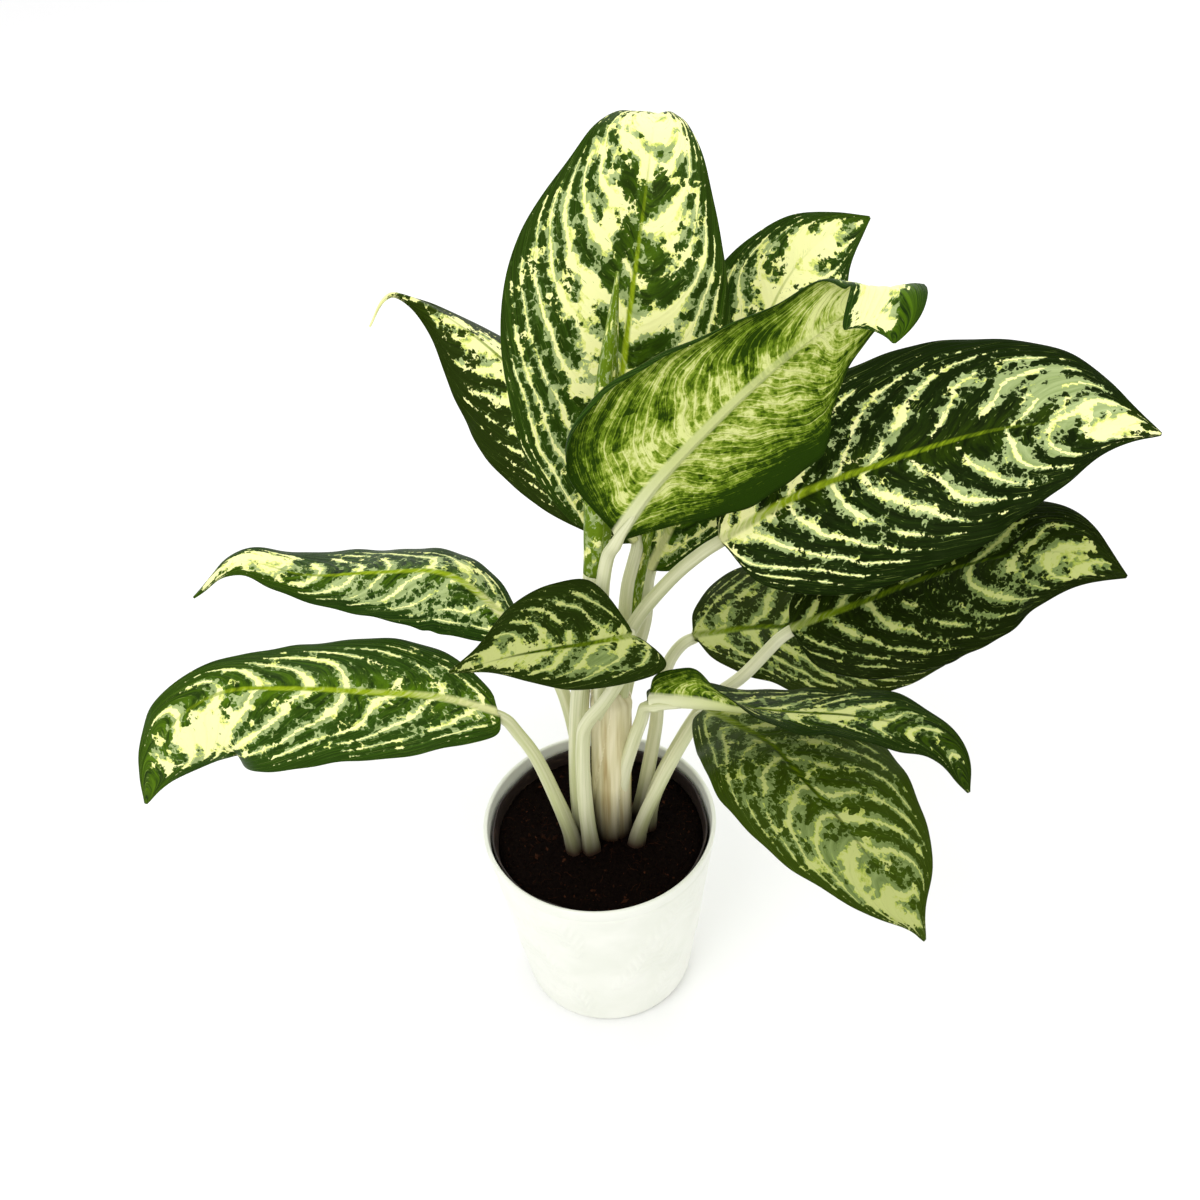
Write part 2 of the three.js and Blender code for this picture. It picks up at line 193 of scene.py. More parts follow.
# White earthenware under a clear glaze: a bright even white with a soft gloss, a little warmer in
# clouds 30 mm wide, and the faint 5 mm waviness of glaze that ran before it set.
glazed_earthenware, add = start_material("white glazed earthenware")
place = add("TexCoord", out="Object")
cloud = add("TexNoise", {"Vector": place, "Scale": 1 / (30 * MM), "Detail": 3})
white = add("MapRange", {"Value": cloud, "From Min": 0.35, "From Max": 0.65})
white = add("Mix", {"Factor": white, 6: "#E7E9DD", 7: "#EFF0E6"}, 2, data_type="RGBA")
ripple = add("TexNoise", {"Vector": place, "Scale": 1 / (5 * MM), "Detail": 2})
gloss = add("MapRange", {"Value": ripple, "To Min": 0.24, "To Max": 0.4})
wave = add("Bump", {"Height": ripple, "Distance": 0.12 * MM, "Strength": 0.6})
glaze = add("BsdfPrincipled", {"Base Color": white, "Roughness": gloss, "IOR": 1.5, "Normal": wave})
add("OutputMaterial", {"Surface": glaze}, None)

cover_pot = skin("glazed_cover_pot", pot_rings, [glazed_earthenware])
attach(cover_pot, "root")
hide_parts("cover_pot")

# Nursery pot.
# The thin black-brown plastic pot that the plant was sold in, vacuum-formed from polypropylene sheet. It
# stands loose inside the cover pot, and its soft rim has gone a little out of round and up and down.
LINER_TOP, LINER_BOTTOM, LINER_RIM, LINER_FOOT, LINER_WALL = 121, 4.3, 60.6, 41, 1.2


def liner_radius(height):
    """The nursery pot's outer radius at a height."""
    return LINER_FOOT + (LINER_RIM - LINER_FOOT) * (height - LINER_BOTTOM) / (LINER_TOP - LINER_BOTTOM)


liner_profile = (
    [(15, LINER_BOTTOM), (38, LINER_BOTTOM)] + [(liner_radius(h), h) for h in np.linspace(5, 120, 40)]
    + [(LINER_RIM - inward, h) for inward, h in ((0, 120.6), (0.3, 121), (0.8, 120.9), (1.1, 120.4))]
    + [(liner_radius(h) - LINER_WALL, h) for h in np.linspace(119, 6.5, 40)] + [(38, 5.5), (15, 5.5)])
liner_rings = turned(liner_profile, 180)
angle = np.arctan2(liner_rings[..., 1], liner_rings[..., 0])
near_rim = smoothstep(95, LINER_TOP, liner_rings[..., 2])
pulled_in = near_rim * (0.006 + 0.006 * np.sin(3 * angle + 1) + 0.004 * np.sin(11 * angle))  # of the radius
liner_rings[..., :2] *= 1 - pulled_in[..., None]
liner_rings[..., 2] -= near_rim * (0.7 + 0.5 * np.sin(5 * angle + 2) + 0.3 * np.sin(13 * angle))

# Vacuum-formed polypropylene, dark brown: a dull sheen, with scuffs of dried soil round the wall, about
# 9 mm long and 1.2 mm high.
liner_plastic, add = start_material("brown vacuum-formed polypropylene")
place = add("TexCoord", out="Object")
drawn_out = add("Mapping", {"Vector": place, "Scale": (1 / (9 * MM), 1 / (9 * MM), 1 / (1.2 * MM))})
scuff = add("TexNoise", {"Vector": drawn_out, "Scale": 1, "Detail": 4})
worn = add("MapRange", {"Value": scuff, "From Min": 0.55, "From Max": 0.75})
brown = add("Mix", {"Factor": worn, 6: "#241A16", 7: "#5A463A"}, 2, data_type="RGBA")
wave = add("Bump", {"Height": scuff, "Distance": 0.2 * MM, "Strength": 0.7})
plastic = add("BsdfPrincipled", {"Base Color": brown, "Roughness": 0.5, "Normal": wave})
add("OutputMaterial", {"Surface": plastic}, None)

nursery_pot = skin("nursery_pot_liner", liner_rings, [liner_plastic])
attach(nursery_pot, "root")
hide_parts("nursery_pot")

# Potting soil.
# Damp peat and composted bark, filled to a little under the nursery pot's rim and slightly mounded round
# the stems. Its top is crumbs of 0.5 to 5 mm with a few paler root and coir fibres lying on them.
SOIL_TOP, SOIL_MOUND, SOIL_RADIUS, SOIL_BOTTOM = 113, 2, 57.4, 5.8
CRUMBS, CRUMB_REACH = 1500, 56  # how many, and how far out they lie
FIBRES, FIBRE_REACH, FIBRE_RADIUS = 220, 54, 0.1


def soil_height(x, y):
    """The height of the soil's top, with its mound, its hollows and its crumbly surface."""
    middle = max(0.0, 1 - (x * x + y * y) / SOIL_RADIUS ** 2)
    hollow = 0.9 * noise.fractal(Vector((x / 16, y / 16, 3.0)), 1.0, 2.0, 3)
    crumbly = 0.9 * noise.fractal(Vector((x / 2.6, y / 2.6, 7.0)), 0.9, 2.1, 4)
    return SOIL_TOP + SOIL_MOUND * middle ** 0.8 + hollow + crumbly


angles = np.arange(300) * 2 * pi / 300
soil_rings = [[(radius * cos(a), radius * sin(a), height) for a in angles]
              for radius, height in ((20, SOIL_BOTTOM), (40, SOIL_BOTTOM), (41, 8), (50, 62), (57.2, 108))]
for radius in np.concatenate([np.linspace(SOIL_RADIUS, 8, 78), [5, 2.5, 1]]):
    sunk = 1.2 * smoothstep(SOIL_RADIUS - 3, SOIL_RADIUS, radius)
    places = [(radius * cos(a), radius * sin(a)) for a in angles]
    soil_rings.append([(x, y, soil_height(x, y) - sunk) for x, y in places])

# Damp peat and bark: almost black and matt, in grains of 1.5 mm and clumps of 3 mm, with rusty fibres.
peat, add = start_material("damp peat and bark")
place = add("TexCoord", out="Object")
grain = add("TexNoise", {"Vector": place, "Scale": 1 / (1.5 * MM), "Detail": 5, "Roughness": 0.65})
clump = add("TexVoronoi", {"Vector": place, "Scale": 1 / (3 * MM)}, "Color")
rusty = add("Attribute", out="Fac", attribute_name="crumb")
earth = add("ValToRGB", {"Fac": grain}, stops=[(0.35, "#060302"), (0.8, "#140B07")])
earth = add("Mix", {"Factor": rusty, 6: earth, 7: "#4A2A1A"}, 2, data_type="RGBA")
height = add("Math", {0: grain, 1: clump}, operation="ADD")
wave = add("Bump", {"Height": height, "Distance": 0.5 * MM, "Strength": 0.8})
matt = add("BsdfPrincipled", {
    "Base Color": earth, "Roughness": 0.85, "Specular IOR Level": 0.03, "Normal": wave})
add("OutputMaterial", {"Surface": matt}, None)

soil = skin("peat_and_bark_soil", soil_rings, [peat])
chance = random.Random(11)
loose_points, loose_faces, loose_kinds = [], [], []
corner_triangles = [(0, 2, 4), (2, 1, 4), (1, 3, 4), (3, 0, 4), (2, 0, 5), (1, 2, 5), (3, 1, 5), (0, 3, 5)]
for _ in range(CRUMBS):
    reach, a = CRUMB_REACH * chance.random() ** 0.5, chance.random() * 2 * pi
    x, y = reach * cos(a), reach * sin(a)
    size = 0.3 + chance.random() ** 3
    long, flat = size * (1 + 1.2 * chance.random()), size * (0.4 + 0.5 * chance.random())
    turn = Matrix.Rotation(chance.random() * 2 * pi, 3, "Z")
    turn = turn @ Matrix.Rotation(chance.uniform(-0.6, 0.6), 3, "X")
    first = len(loose_points)
    for corner in ((long, 0, 0), (-long, 0, 0), (0, size, 0), (0, -size, 0), (0, 0, flat), (0, 0, -flat)):
        jittered = Vector(corner) * chance.uniform(0.75, 1.25)
        loose_points.append(turn @ jittered + Vector((x, y, soil_height(x, y) + 0.15 * flat)))
    loose_faces += [tuple(first + c for c in corners) for corners in corner_triangles]
    loose_kinds += [0.8 * chance.random() ** 9] * 6
for _ in range(FIBRES):
    reach, a = FIBRE_REACH * chance.random() ** 0.5, chance.random() * 2 * pi
    centre = Vector((reach * cos(a), reach * sin(a), 0))
    heading, curl, length = chance.random() * 2 * pi, chance.uniform(-1.5, 1.5), chance.uniform(1.5, 6)
    first, steps = len(loose_points), 6
    for step in range(steps):
        part = step / (steps - 1)
        way = heading + curl * part
        x, y = (centre + Vector((cos(way), sin(way), 0)) * length * part)[:2]
        top = soil_height(x, y) + 0.25 + 0.5 * sin(part * pi)
        for swing in (0, 2 * pi / 3, 4 * pi / 3):
            aside, above = FIBRE_RADIUS * cos(swing), FIBRE_RADIUS * sin(swing)
            loose_points.append(Vector((x - sin(way) * aside, y + cos(way) * aside, top + above)))
    for step in range(steps - 1):
        ring = first + 3 * step
        loose_faces += [(ring + a, ring + b, ring + b + 3, ring + a + 3) for a, b in ((0, 1), (1, 2), (2, 0))]
    last = first + 3 * (steps - 1)
    loose_faces += [(first + 2, first + 1, first), (last, last + 1, last + 2)]
    loose_kinds += [chance.uniform(0.05, 0.6)] * (steps * 3)
crumb_mesh = bpy.data.meshes.new("soil_crumbs")
crumb_mesh.from_pydata([tuple(p * MM) for p in loose_points], [], loose_faces)
crumb_mesh.attributes.new("crumb", "FLOAT", "POINT").data.foreach_set("value", loose_kinds)
crumb_mesh.materials.append(peat)
crumbs = into_scene("soil_crumbs_and_fibres", crumb_mesh)
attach(soil, "root")
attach(crumbs, "root")
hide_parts("potting_soil")

# Cane.
# The plant's one short stem. The sheaths of older leaf stalks wrap it from the soil to the crown, each
# overlapping the next, so it shows as a thick bundle with long edges and fine lengthwise ribs.
CANE_PATH, CANE_LENGTH = [(7, 2, 96), (8, 2, 150), (11, 3, 222.7)], 127
CANE_RADII = [10.5, 11, 11.5]  # from the soil to the crown
SHEATHS = 4  # round the cane at any height
FOOT_DARKEST, FOOT_DARK_ENDS = 116, 158  # heights between which the darkening towards the foot fades out


def curve(points):
    """Close steps along a smooth curve through evenly timed points."""
    p = np.array(points, float)
    p = np.vstack([2 * p[:1] - p[1:2], p, 2 * p[-1:] - p[-2:-1]])
    t = np.linspace(0, 1, 24, endpoint=False)[:, None]
    runs = [
        0.5 * (2 * b + (c - a) * t + (2 * a - 5 * b + 4 * c - d) * t ** 2 + (3 * b - a - 3 * c + d) * t ** 3)
        for a, b, c, d in zip(p, p[1:], p[2:], p[3:])
    ]
    return np.vstack(runs + [p[-2:-1]])


def by_length(points, parts, look_ahead=0.004):
    """Places on the curve through points, at parts of its length, the way on from each, and the length."""
    fine = curve(points)
    run = np.concatenate([[0], np.cumsum(np.linalg.norm(np.diff(fine, axis=0), axis=1))])

    def place_at(parts):
        return np.stack([np.interp(parts * run[-1], run, fine[:, i]) for i in range(3)], axis=1)

    parts = np.asarray(parts)
    ways = place_at(np.minimum(parts + look_ahead, 1)) - place_at(np.maximum(parts - look_ahead, 0))
    return place_at(parts), ways / np.linalg.norm(ways, axis=1)[:, None], run[-1]


def by_time(values, parts):
    """Values between evenly spaced ones."""
    if len(values) == 1:
        return np.repeat(np.array(values, float), len(parts), axis=0)
    fine = curve(values)
    spots = np.asarray(parts) * (len(fine) - 1)
    return np.stack([np.interp(spots, range(len(fine)), fine[:, i]) for i in range(fine.shape[1])], axis=1)


def carried(ways, last_up):
    """A sideways and an upward direction at each step of a path, carried back along it without twist."""
    ups = np.empty_like(ways)
    up = np.array(last_up, float)
    for i in reversed(range(len(ways))):
        up = up - ways[i] * (up @ ways[i])
        up /= np.linalg.norm(up)
        ups[i] = up
    return np.cross(ways, ups), ups


def rod(centres, first_ways, second_ways, reach, turn):
    """Rings round a path: each point is at its reach and at its turn from the first way to the second."""
    return (centres[:, None] + first_ways[:, None] * (reach * np.cos(turn))[..., None]
            + second_ways[:, None] * (reach * np.sin(turn))[..., None])


def three(shape, *values):
    """Three numbers for each point, to be kept as a note."""
    return np.stack([np.broadcast_to(value, shape) for value in values], axis=2)


parts = np.linspace(0, 1, 90)
centres, ways, _ = by_length(CANE_PATH, parts)
sides, ups = carried(ways, (0, -1, 0))
radii = by_time([(r, 0, 0) for r in CANE_RADII], parts)[:, :1]
parts = parts[:, None]
turn = np.arange(144)[None] * 2 * pi / 144
overlap = (turn / (2 * pi) * SHEATHS + 0.9 * parts + 0.12 * np.sin(7 * parts + turn)) % 1.0
step_out = 1.3 * smoothstep(0.0, 0.13, overlap) * (1 - overlap) ** 0.8
lumps = 0.3 * np.sin(3 * turn + 2 * parts) + 0.05 * np.sin(23 * turn)
shrink = 1 - 0.35 * smoothstep(0.94, 1.0, parts) ** 2
reach = (radii - 1.0 + step_out + lumps) * shrink
cane_rings = rod(centres, sides, ups, reach, turn)
cane_notes = {"strand": three(reach.shape, turn * CANE_RADII[0], parts * CANE_LENGTH, overlap)}


def fibrous_skin(name, fine, wide, fine_share, tones, foot_colour, foot_fade_power, roughness, ridge, strength):
    """Plant skin with fine and wide fibres, sized in mm across and along, and darker brown towards its foot.
    """
    material, add = start_material(name)
    strand = add("Attribute", out="Vector", attribute_name="strand")
    fine, wide = (add("VectorMath", {0: strand, 1: (1 / across, 1 / along, 1)}, operation="MULTIPLY")
                  for across, along in (fine, wide))
    grain = add("TexNoise", {"Vector": fine, "Scale": 1, "Detail": 3})
    bands = add("TexNoise", {"Vector": wide, "Scale": 1, "Detail": 2})
    tone = add("Math", {0: grain, 1: fine_share, 2: bands}, operation="MULTIPLY_ADD")
    colour = add("ValToRGB", {"Fac": tone}, stops=tones)
    # Darker brown towards the foot, fading out between two heights.
    rise = add("SeparateXYZ", {0: add("TexCoord", out="Object")}, "Z")
    towards_foot = add("MapRange", {"Value": rise, "From Min": FOOT_DARK_ENDS * MM, "From Max": FOOT_DARKEST * MM})
    towards_foot = add("Math", {0: towards_foot, 1: foot_fade_power}, operation="POWER")
    colour = add("Mix", {"Factor": towards_foot, 6: colour, 7: foot_colour}, 2, data_type="RGBA")
    wave = add("Bump", {"Height": grain, "Distance": ridge * MM, "Strength": strength})
    shader = add("BsdfPrincipled", {
        "Base Color": colour, "Roughness": roughness, "Specular IOR Level": 0.3, "Normal": wave})
    add("OutputMaterial", {"Surface": shader}, None)
    return material


# Dry outer sheaths: smooth pale straw with soft lengthwise streaks of tan, darker brown towards the soil.
sheath_skin = fibrous_skin(
    "dried leaf sheath", (1.2, 50), (6, 90), 0.35, [(0.5, "#E8E0BE"), (0.7, "#D2CA9E"), (0.86, "#AC9866")],
    foot_colour="#2A1C0F", foot_fade_power=1.0, roughness=0.5, ridge=0.12, strength=0.6)

cane = skin("sheathed_cane", cane_rings, [sheath_skin], cane_notes)
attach(cane, "root")
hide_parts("cane")

# Leaves.
# Twelve leathery leaves. In each the stalk, the midrib and the blade are grown as one: the stalk is a
# fleshy channelled rod, and the midrib carries on from it as a thick rib under the blade. Six stalks come
# up through the soil round the cane, and six come out of the cane's sheaths.
STATIONS = [0, 0.04, 0.2, 0.4, 0.6, 0.8, 0.93, 1]  # parts of the blade's length
AT_STALK, AT_TIP = 2, 0.8  # half widths at the two ends
FULL_GROWN = 215  # midrib length of a full-grown leaf; the pattern is finer on a smaller one
STALK_BASE, STALK_TOP, STALK_END = 4.4, 3.2, 1.2  # radii
RIB_RUN = 0.09  # part of the midrib that the stalk runs under before it ends
VEIN_PITCH = 11  # from one side vein to the next along the midrib of a full-grown leaf
ARC_PITCH = 22  # from one pale arc to the next; they follow about every second side vein
CROWN, ROOTED = 223, 96  # heights where stalks leave the cane, and where the rooted ones start in the soil
CANE_MIDDLE = (9, 2.5)  # where its axis is among the stalks
CURL_RADIUS, CURL_ANGLE = 2.6, radians(165)  # a margin that rolls back on itself
RIPPLES = [(47, 1.1, 1, 2), (23, 0.6, 2.3, 1)]  # length, height, and shifts by leaf and by half of the blade
BLADE_ROWS, HALF_COLUMNS, STALK_ROWS, STALK_SIDES = 150, 30, 60, 28

# Each leaf has its stalk and midrib in mm, the way its upper face looks at even steps along the blade
# (face), its half widths at the stations (left, right), how far the two halves fold up in degrees (fold),
# how far the margins hang (bow), where the right margin rolls under (curl: part of length, part of half
# width), how far its shoulders reach back (lobes), and how much later its right half folds over (slant).
# tissue is how dark, how creamy and how strongly arched the pattern is. tones are the brightness of the
# dark tissue, how little the pale tissue is washed with green, and how olive the dark is; the first two are
# partly the leaf's own colour and partly painted shade laid over the whole leaf. Each patch is (part of
# length, part of half width with left negative, reach along, reach across, darker, creamier).
LEAVES = {
    "back_upright": dict(
        stalk=[(5, 12, CROWN), (6, 20, 262)],
        midrib=[(9, 35, 302), (17, 42, 339), (26, 54, 370), (35, 70, 413), (44, 88, 452), (49, 104, 470),
                (53, 124, 472), (56, 142, 465)],
        face=[(0.1, -1, 0.2), (0.1, -1, 0.25), (0.05, -1, 0.4), (0, -0.9, 0.6), (0, 0.2, 1)],
        left=[17, 46, 60, 56, 30, 9], right=[14, 38, 50, 41, 23, 7], fold=[(12, 12)], bow=8,
        seed=1, tissue=(0.5, -0.2, 1.2), tones=(0.9, 1.0, 0.1),
        patches=[
            (0.87, 0.1, 20, 22, -4, 2), (0.73, -0.2, 8, 4.5, 4.5, 0), (0.73, 0.2, 7, 4.5, 4.5, 0),
            (0.67, 0, 7, 3, 4.5, 0), (0.77, 0, 6, 3, -4, 2), (0.66, -0.3, 18, 6, -3, 1),
            (0.66, 0.3, 10, 8, -3, 1.5),
            (0.6, -0.16, 8, 3.5, 3.5, 0), (0.53, -0.22, 7, 4, 3.5, 0), (0.54, 0.28, 6, 7, 3, 0),
            (0.5, -0.35, 10, 7, -3, 2), (0.47, 0.3, 6, 12, -3, 2), (0.36, -0.3, 9, 7, -3, 2),
            (0.42, 0.3, 7, 7, 2, 0), (0.35, -0.6, 30, 12, 0.8, -0.8),
        ],
    ),
    "back_left": dict(
        stalk=[(12, 12, CROWN), (20, 24, 246), (24, 33, 266)],
        midrib=[(30, 46, 284), (10, 78, 307), (-11, 108, 330), (-32, 132, 346), (-57, 150, 361),
                (-81, 159.7, 372), (-91, 157.7, 372), (-100, 150, 360)],
        face=[(-0.2, -0.7, 0.6), (-0.2, -0.7, 0.6), (-0.3, -0.6, 0.7), (-0.3, -0.6, 0.7)],
        left=[12, 32, 42, 33, 9, 2], right=[12, 30, 34, 26, 8, 2],
        fold=[(8, -40), (5, -60), (0, -70), (0, -70)], bow=4,
        seed=2, tissue=(0.8, 0.1, 0.9), tones=(0.35, 0.7, 0.3),
        patches=[
            (0.5, 0, 60, 10, -2.5, 1.5), (0.5, -0.8, 60, 10, 2, 0), (0.5, 0.8, 60, 10, 2, 0),
            (0.97, 0, 18, 20, -9, 2),
        ],
    ),
    "back_right": dict(
        stalk=[(21, 11, CROWN), (32, 30, 244)],
        midrib=[(37, 54, 258), (61, 74, 295), (84, 98, 329), (103, 118, 357), (119, 134, 378),
                (139, 146, 392), (165, 158, 396)],
        face=[(-0.3, -0.8, 0.5)],
        left=[14, 36, 44, 41, 25, 9], right=[14, 32, 44, 42, 30, 12], fold=[(8, 8)], bow=4,
        seed=3, tissue=(0.4, -0.1, 0.9), tones=(0.9, 1.0, 0.05),
        patches=[(0.6, 0.1, 40, 12, -3, 2.5), (0.85, 0, 15, 6, -3, 2)],
    ),
    "inner_right": dict(
        stalk=[(6, -5, CROWN), (8, -4, 262), (11, -2, 300)],
        midrib=[(17, -2, 324), (37, 0, 353), (63, 4, 380), (88, 8, 402), (112, 10, 421), (129, 6, 436),
                (138, -2, 444), (138, -12, 440), (135, -20, 429)],
        face=[(-0.1, 1, 0), (0, 1, -0.05), (0, 1, -0.05), (0, 1, -0.05), (0, 1, -0.05), (0, 1, 0),
              (0, 1, 0.1), (0.2, 0.1, 1), (0.1, -0.9, 0.4)],
        left=[10, 39, 52, 46, 24, 15], right=[5, 51, 46, 24, 24, 19], fold=[(5, 5)], bow=2, slant=0.12,
        curl=[(0.06, 1), (0.16, 0.88), (0.6, 0.84), (0.72, 0.84), (0.8, 1), (1, 1)], lobes=(0, 12),
        seed=4, tissue=(0.4, 0.0, 0.8), tones=(1.0, 1.0, 0),
        patches=[
            (0.35, -0.95, 45, 13, 9, 0), (0.15, 0.8, 25, 12, 4, 0), (0.55, 0.5, 10, 8, 5, 0),
            (0.32, 0.35, 8, 6, 4, 0), (0.72, 0.3, 20, 14, -4, 0), (0.3, 0.25, 30, 8, -3, 0),
            (0.45, -0.2, 40, 6, -2, 0), (0.95, -0.5, 14, 9, 7, 0), (0.9, 0.5, 22, 11, -4, 1.2),
        ],
    ),
    "right_upper": dict(
        stalk=[(17, 2, CROWN), (23, 16, 249), (45, 20, 279)],
        midrib=[(70, 22, 300), (109, 28, 319), (144, 32, 329), (173, 30, 340), (201, 24, 351), (227, 14, 359),
                (248, 2, 363), (263, -8, 364)],
        face=[(-0.3, -0.9, 1), (-0.2, -0.8, 1), (-0.1, -0.6, 1)],
        left=[16, 42, 51, 49, 34, 11], right=[32, 54, 57, 52, 34, 10], fold=[(8, 8)], bow=8,
        seed=5, tissue=(1.3, -0.8, 1.1), tones=(0.3, 0.62, 0.05),
        patches=[
            (0.58, 0, 22, 9, 5, 0), (0.5, 0.95, 80, 12, 2.5, 0), (0.5, -0.95, 80, 9, 2, 0),
            (0.78, -0.5, 26, 14, -2.5, -1.5), (0.7, 0.35, 18, 10, -2.5, -1.5),
            (0.92, 0, 18, 9, -4, 2.5), (0.05, 0, 14, 10, -4, 2.5),
        ],
    ),
    "right_middle": dict(
        stalk=[(25, 1, ROOTED), (32, 3, 140), (57, 12, 190), (82, 12, 217)],
        midrib=[(106, 18, 241), (142, 20, 253), (174, 14, 272), (203, 0, 293), (227, -16, 306),
                (249, -36, 306)],
        face=[(-0.2, -0.5, 1)],
        left=[16, 36, 40, 35, 24, 9], right=[26, 42, 46, 43, 30, 10], fold=[(8, 8)], bow=8,
        seed=6, tissue=(1.8, -0.9, 1.0), tones=(0.17, 0.33, 0.25),
        patches=[(0.85, 0.1, 22, 12, -3.5, 1.5), (0.65, 0.5, 25, 10, -1.5, -1), (0.5, -0.9, 80, 8, 2, 0)],
    ),
    "right_lower": dict(
        stalk=[(20, 13, ROOTED), (26, 11, 131), (34, 13, 180), (37, 15, 205), (45, 26, 220)],
        midrib=[(58, 36, 225), (96, 50, 214), (137, 60, 199), (176, 62, 184), (212, 58, 174)],
        face=[(-0.1, -0.4, 1)],
        left=[16, 36, 44, 42, 30, 12], right=[18, 34, 42, 40, 28, 12], fold=[(8, 8)], bow=8,
        seed=7, tissue=(0.7, -0.5, 1.3), tones=(0.2, 0.33, 0.7),
        patches=[(0.05, 0, 14, 8, -3, 2)],
    ),
    "front_small": dict(
        stalk=[(-5, -12, ROOTED), (-7, -12, 156), (-5, -13, 204), (-1, -14, 219), (8, -16, 234),
               (17, -19, 255)],
        midrib=[(22, -22, 282), (3, -26, 283), (-15, -30, 285), (-35, -33, 285), (-64, -37, 282)],
        face=[(-0.1, -1, 0.65)],
        left=[17, 22.5, 20, 13, 5, 2], right=[8, 29, 30.5, 24, 10, 3.5], fold=[(6, 6)], bow=3,
        lobes=(24, 4), seed=8, tissue=(1.1, -0.7, 1.1), tones=(0.32, 0.33, 0.25),
        patches=[
            (0.7, 0, 30, 8, -4, 2.5), (0.27, -0.4, 8, 6, -3, -1.5), (0.3, 0.3, 25, 8, 1.5, 0),
            (0.1, 0, 10, 6, -3, 2),
        ],
    ),
    "left_upper": dict(
        stalk=[(-5, 13, ROOTED), (-8, 13, 165), (-13, 15, 209), (-22, 26, 226)],
        midrib=[(-35, 42, 233), (-54, 54, 252), (-74, 64, 260), (-108, 74, 255), (-147, 80, 252),
                (-182, 82, 263), (-209, 76, 246)],
        face=[(0, -0.3, 1)],
        left=[16, 30, 26.5, 16.5, 8.5, 3], right=[12, 24, 30, 32, 17, 6], fold=[(-22, -28)], bow=4,
        seed=9, tissue=(1.3, -0.8, 1.0), tones=(0.9, 0.9, 0),
        patches=[
            (0.78, 0.3, 25, 10, -4, 2), (0.65, 0.6, 10, 8, 3, 0),
            (0.35, -0.5, 50, 12, -1.5, -1.5), (0.2, 0.5, 20, 8, -2.5, 0.5),
            (0.93, -0.3, 12, 5, -4, 3),
        ],
    ),
    "left_lower": dict(
        stalk=[(-14, -12, ROOTED), (-17, -10, 130), (-29, -4, 178), (-39, 3, 196)],
        midrib=[(-49, 8, 208), (-78, 12, 218), (-113, 14, 224), (-151, 8, 237), (-181, -2, 248),
                (-206, -12, 240), (-221, -18, 217), (-231, -22, 193)],
        face=[(0, -0.3, 1), (0, -0.4, 1), (-0.1, -0.5, 1), (-0.3, -1, 0.3), (-0.2, -1, 0.1)],
        left=[16, 32, 38, 40, 32, 9], right=[14, 34, 33, 18, 13, 6],
        fold=[(15, 5), (10, 0), (0, -10), (-15, -5), (-10, -5)], bow=12,
        lobes=(16, 0), seed=10, tissue=(1.1, -0.5, 1.1), tones=(1.1, 1.0, 0.05),
        patches=[(0.72, -0.45, 24, 12, -5, 3.5), (0.3, 0.5, 40, 14, 1, -0.5), (0.95, 0, 12, 8, 4, 0)],
    ),
    "front_right_twisted": dict(
        stalk=[(15, -3.5, 165), (20, -9, 192), (25, -15, 216)],
        midrib=[(30, -22, 238), (58, -32, 242), (90, -48, 249), (120, -62, 257), (147, -74, 258),
                (162, -84, 252), (169, -96, 236)],
        face=[(0.1, 0.5, 1), (0.1, 0.5, 1), (0.1, 0.2, 1), (0.1, -0.3, 1), (0.3, -0.7, 0.7)],
        left=[14, 26, 30, 22, 11, 6], right=[14, 19, 15, 15, 12, 6],
        fold=[(10, 100), (10, 95), (8, 40), (5, 5), (0, -5), (0, 0), (0, 0), (0, 0), (0, 0)],
        bow=3, lobes=(14, 4), seed=11, tissue=(1.2, -0.6, 0.9), tones=(0.42, 0.36, 0.05),
        patches=[(0.5, 0, 25, 6, -2.5, 2)],
    ),
    "front_right_low": dict(
        stalk=[(18, -10, ROOTED), (22, -9, 125), (36, -4, 160), (52, 0, 192)],
        midrib=[(60, 0, 206), (85, -42, 222), (97, -70, 226), (111, -97, 224), (125, -120, 214),
                (136, -134, 200), (143, -140, 188)],
        face=[(0.2, -0.4, 1)],
        left=[20, 34, 46, 42, 30, 9], right=[14, 31, 41, 39, 24, 6], fold=[(8, 8)], bow=5,
        seed=12, tissue=(0.7, -0.9, 1.0), tones=(0.45, 0.32, 0.5),
        patches=[(0.75, 0.4, 30, 12, -3, 0.5), (0.9, 0.5, 14, 6, -3.5, 2.5), (0.5, -0.6, 40, 10, 1, 0)],
    ),
}


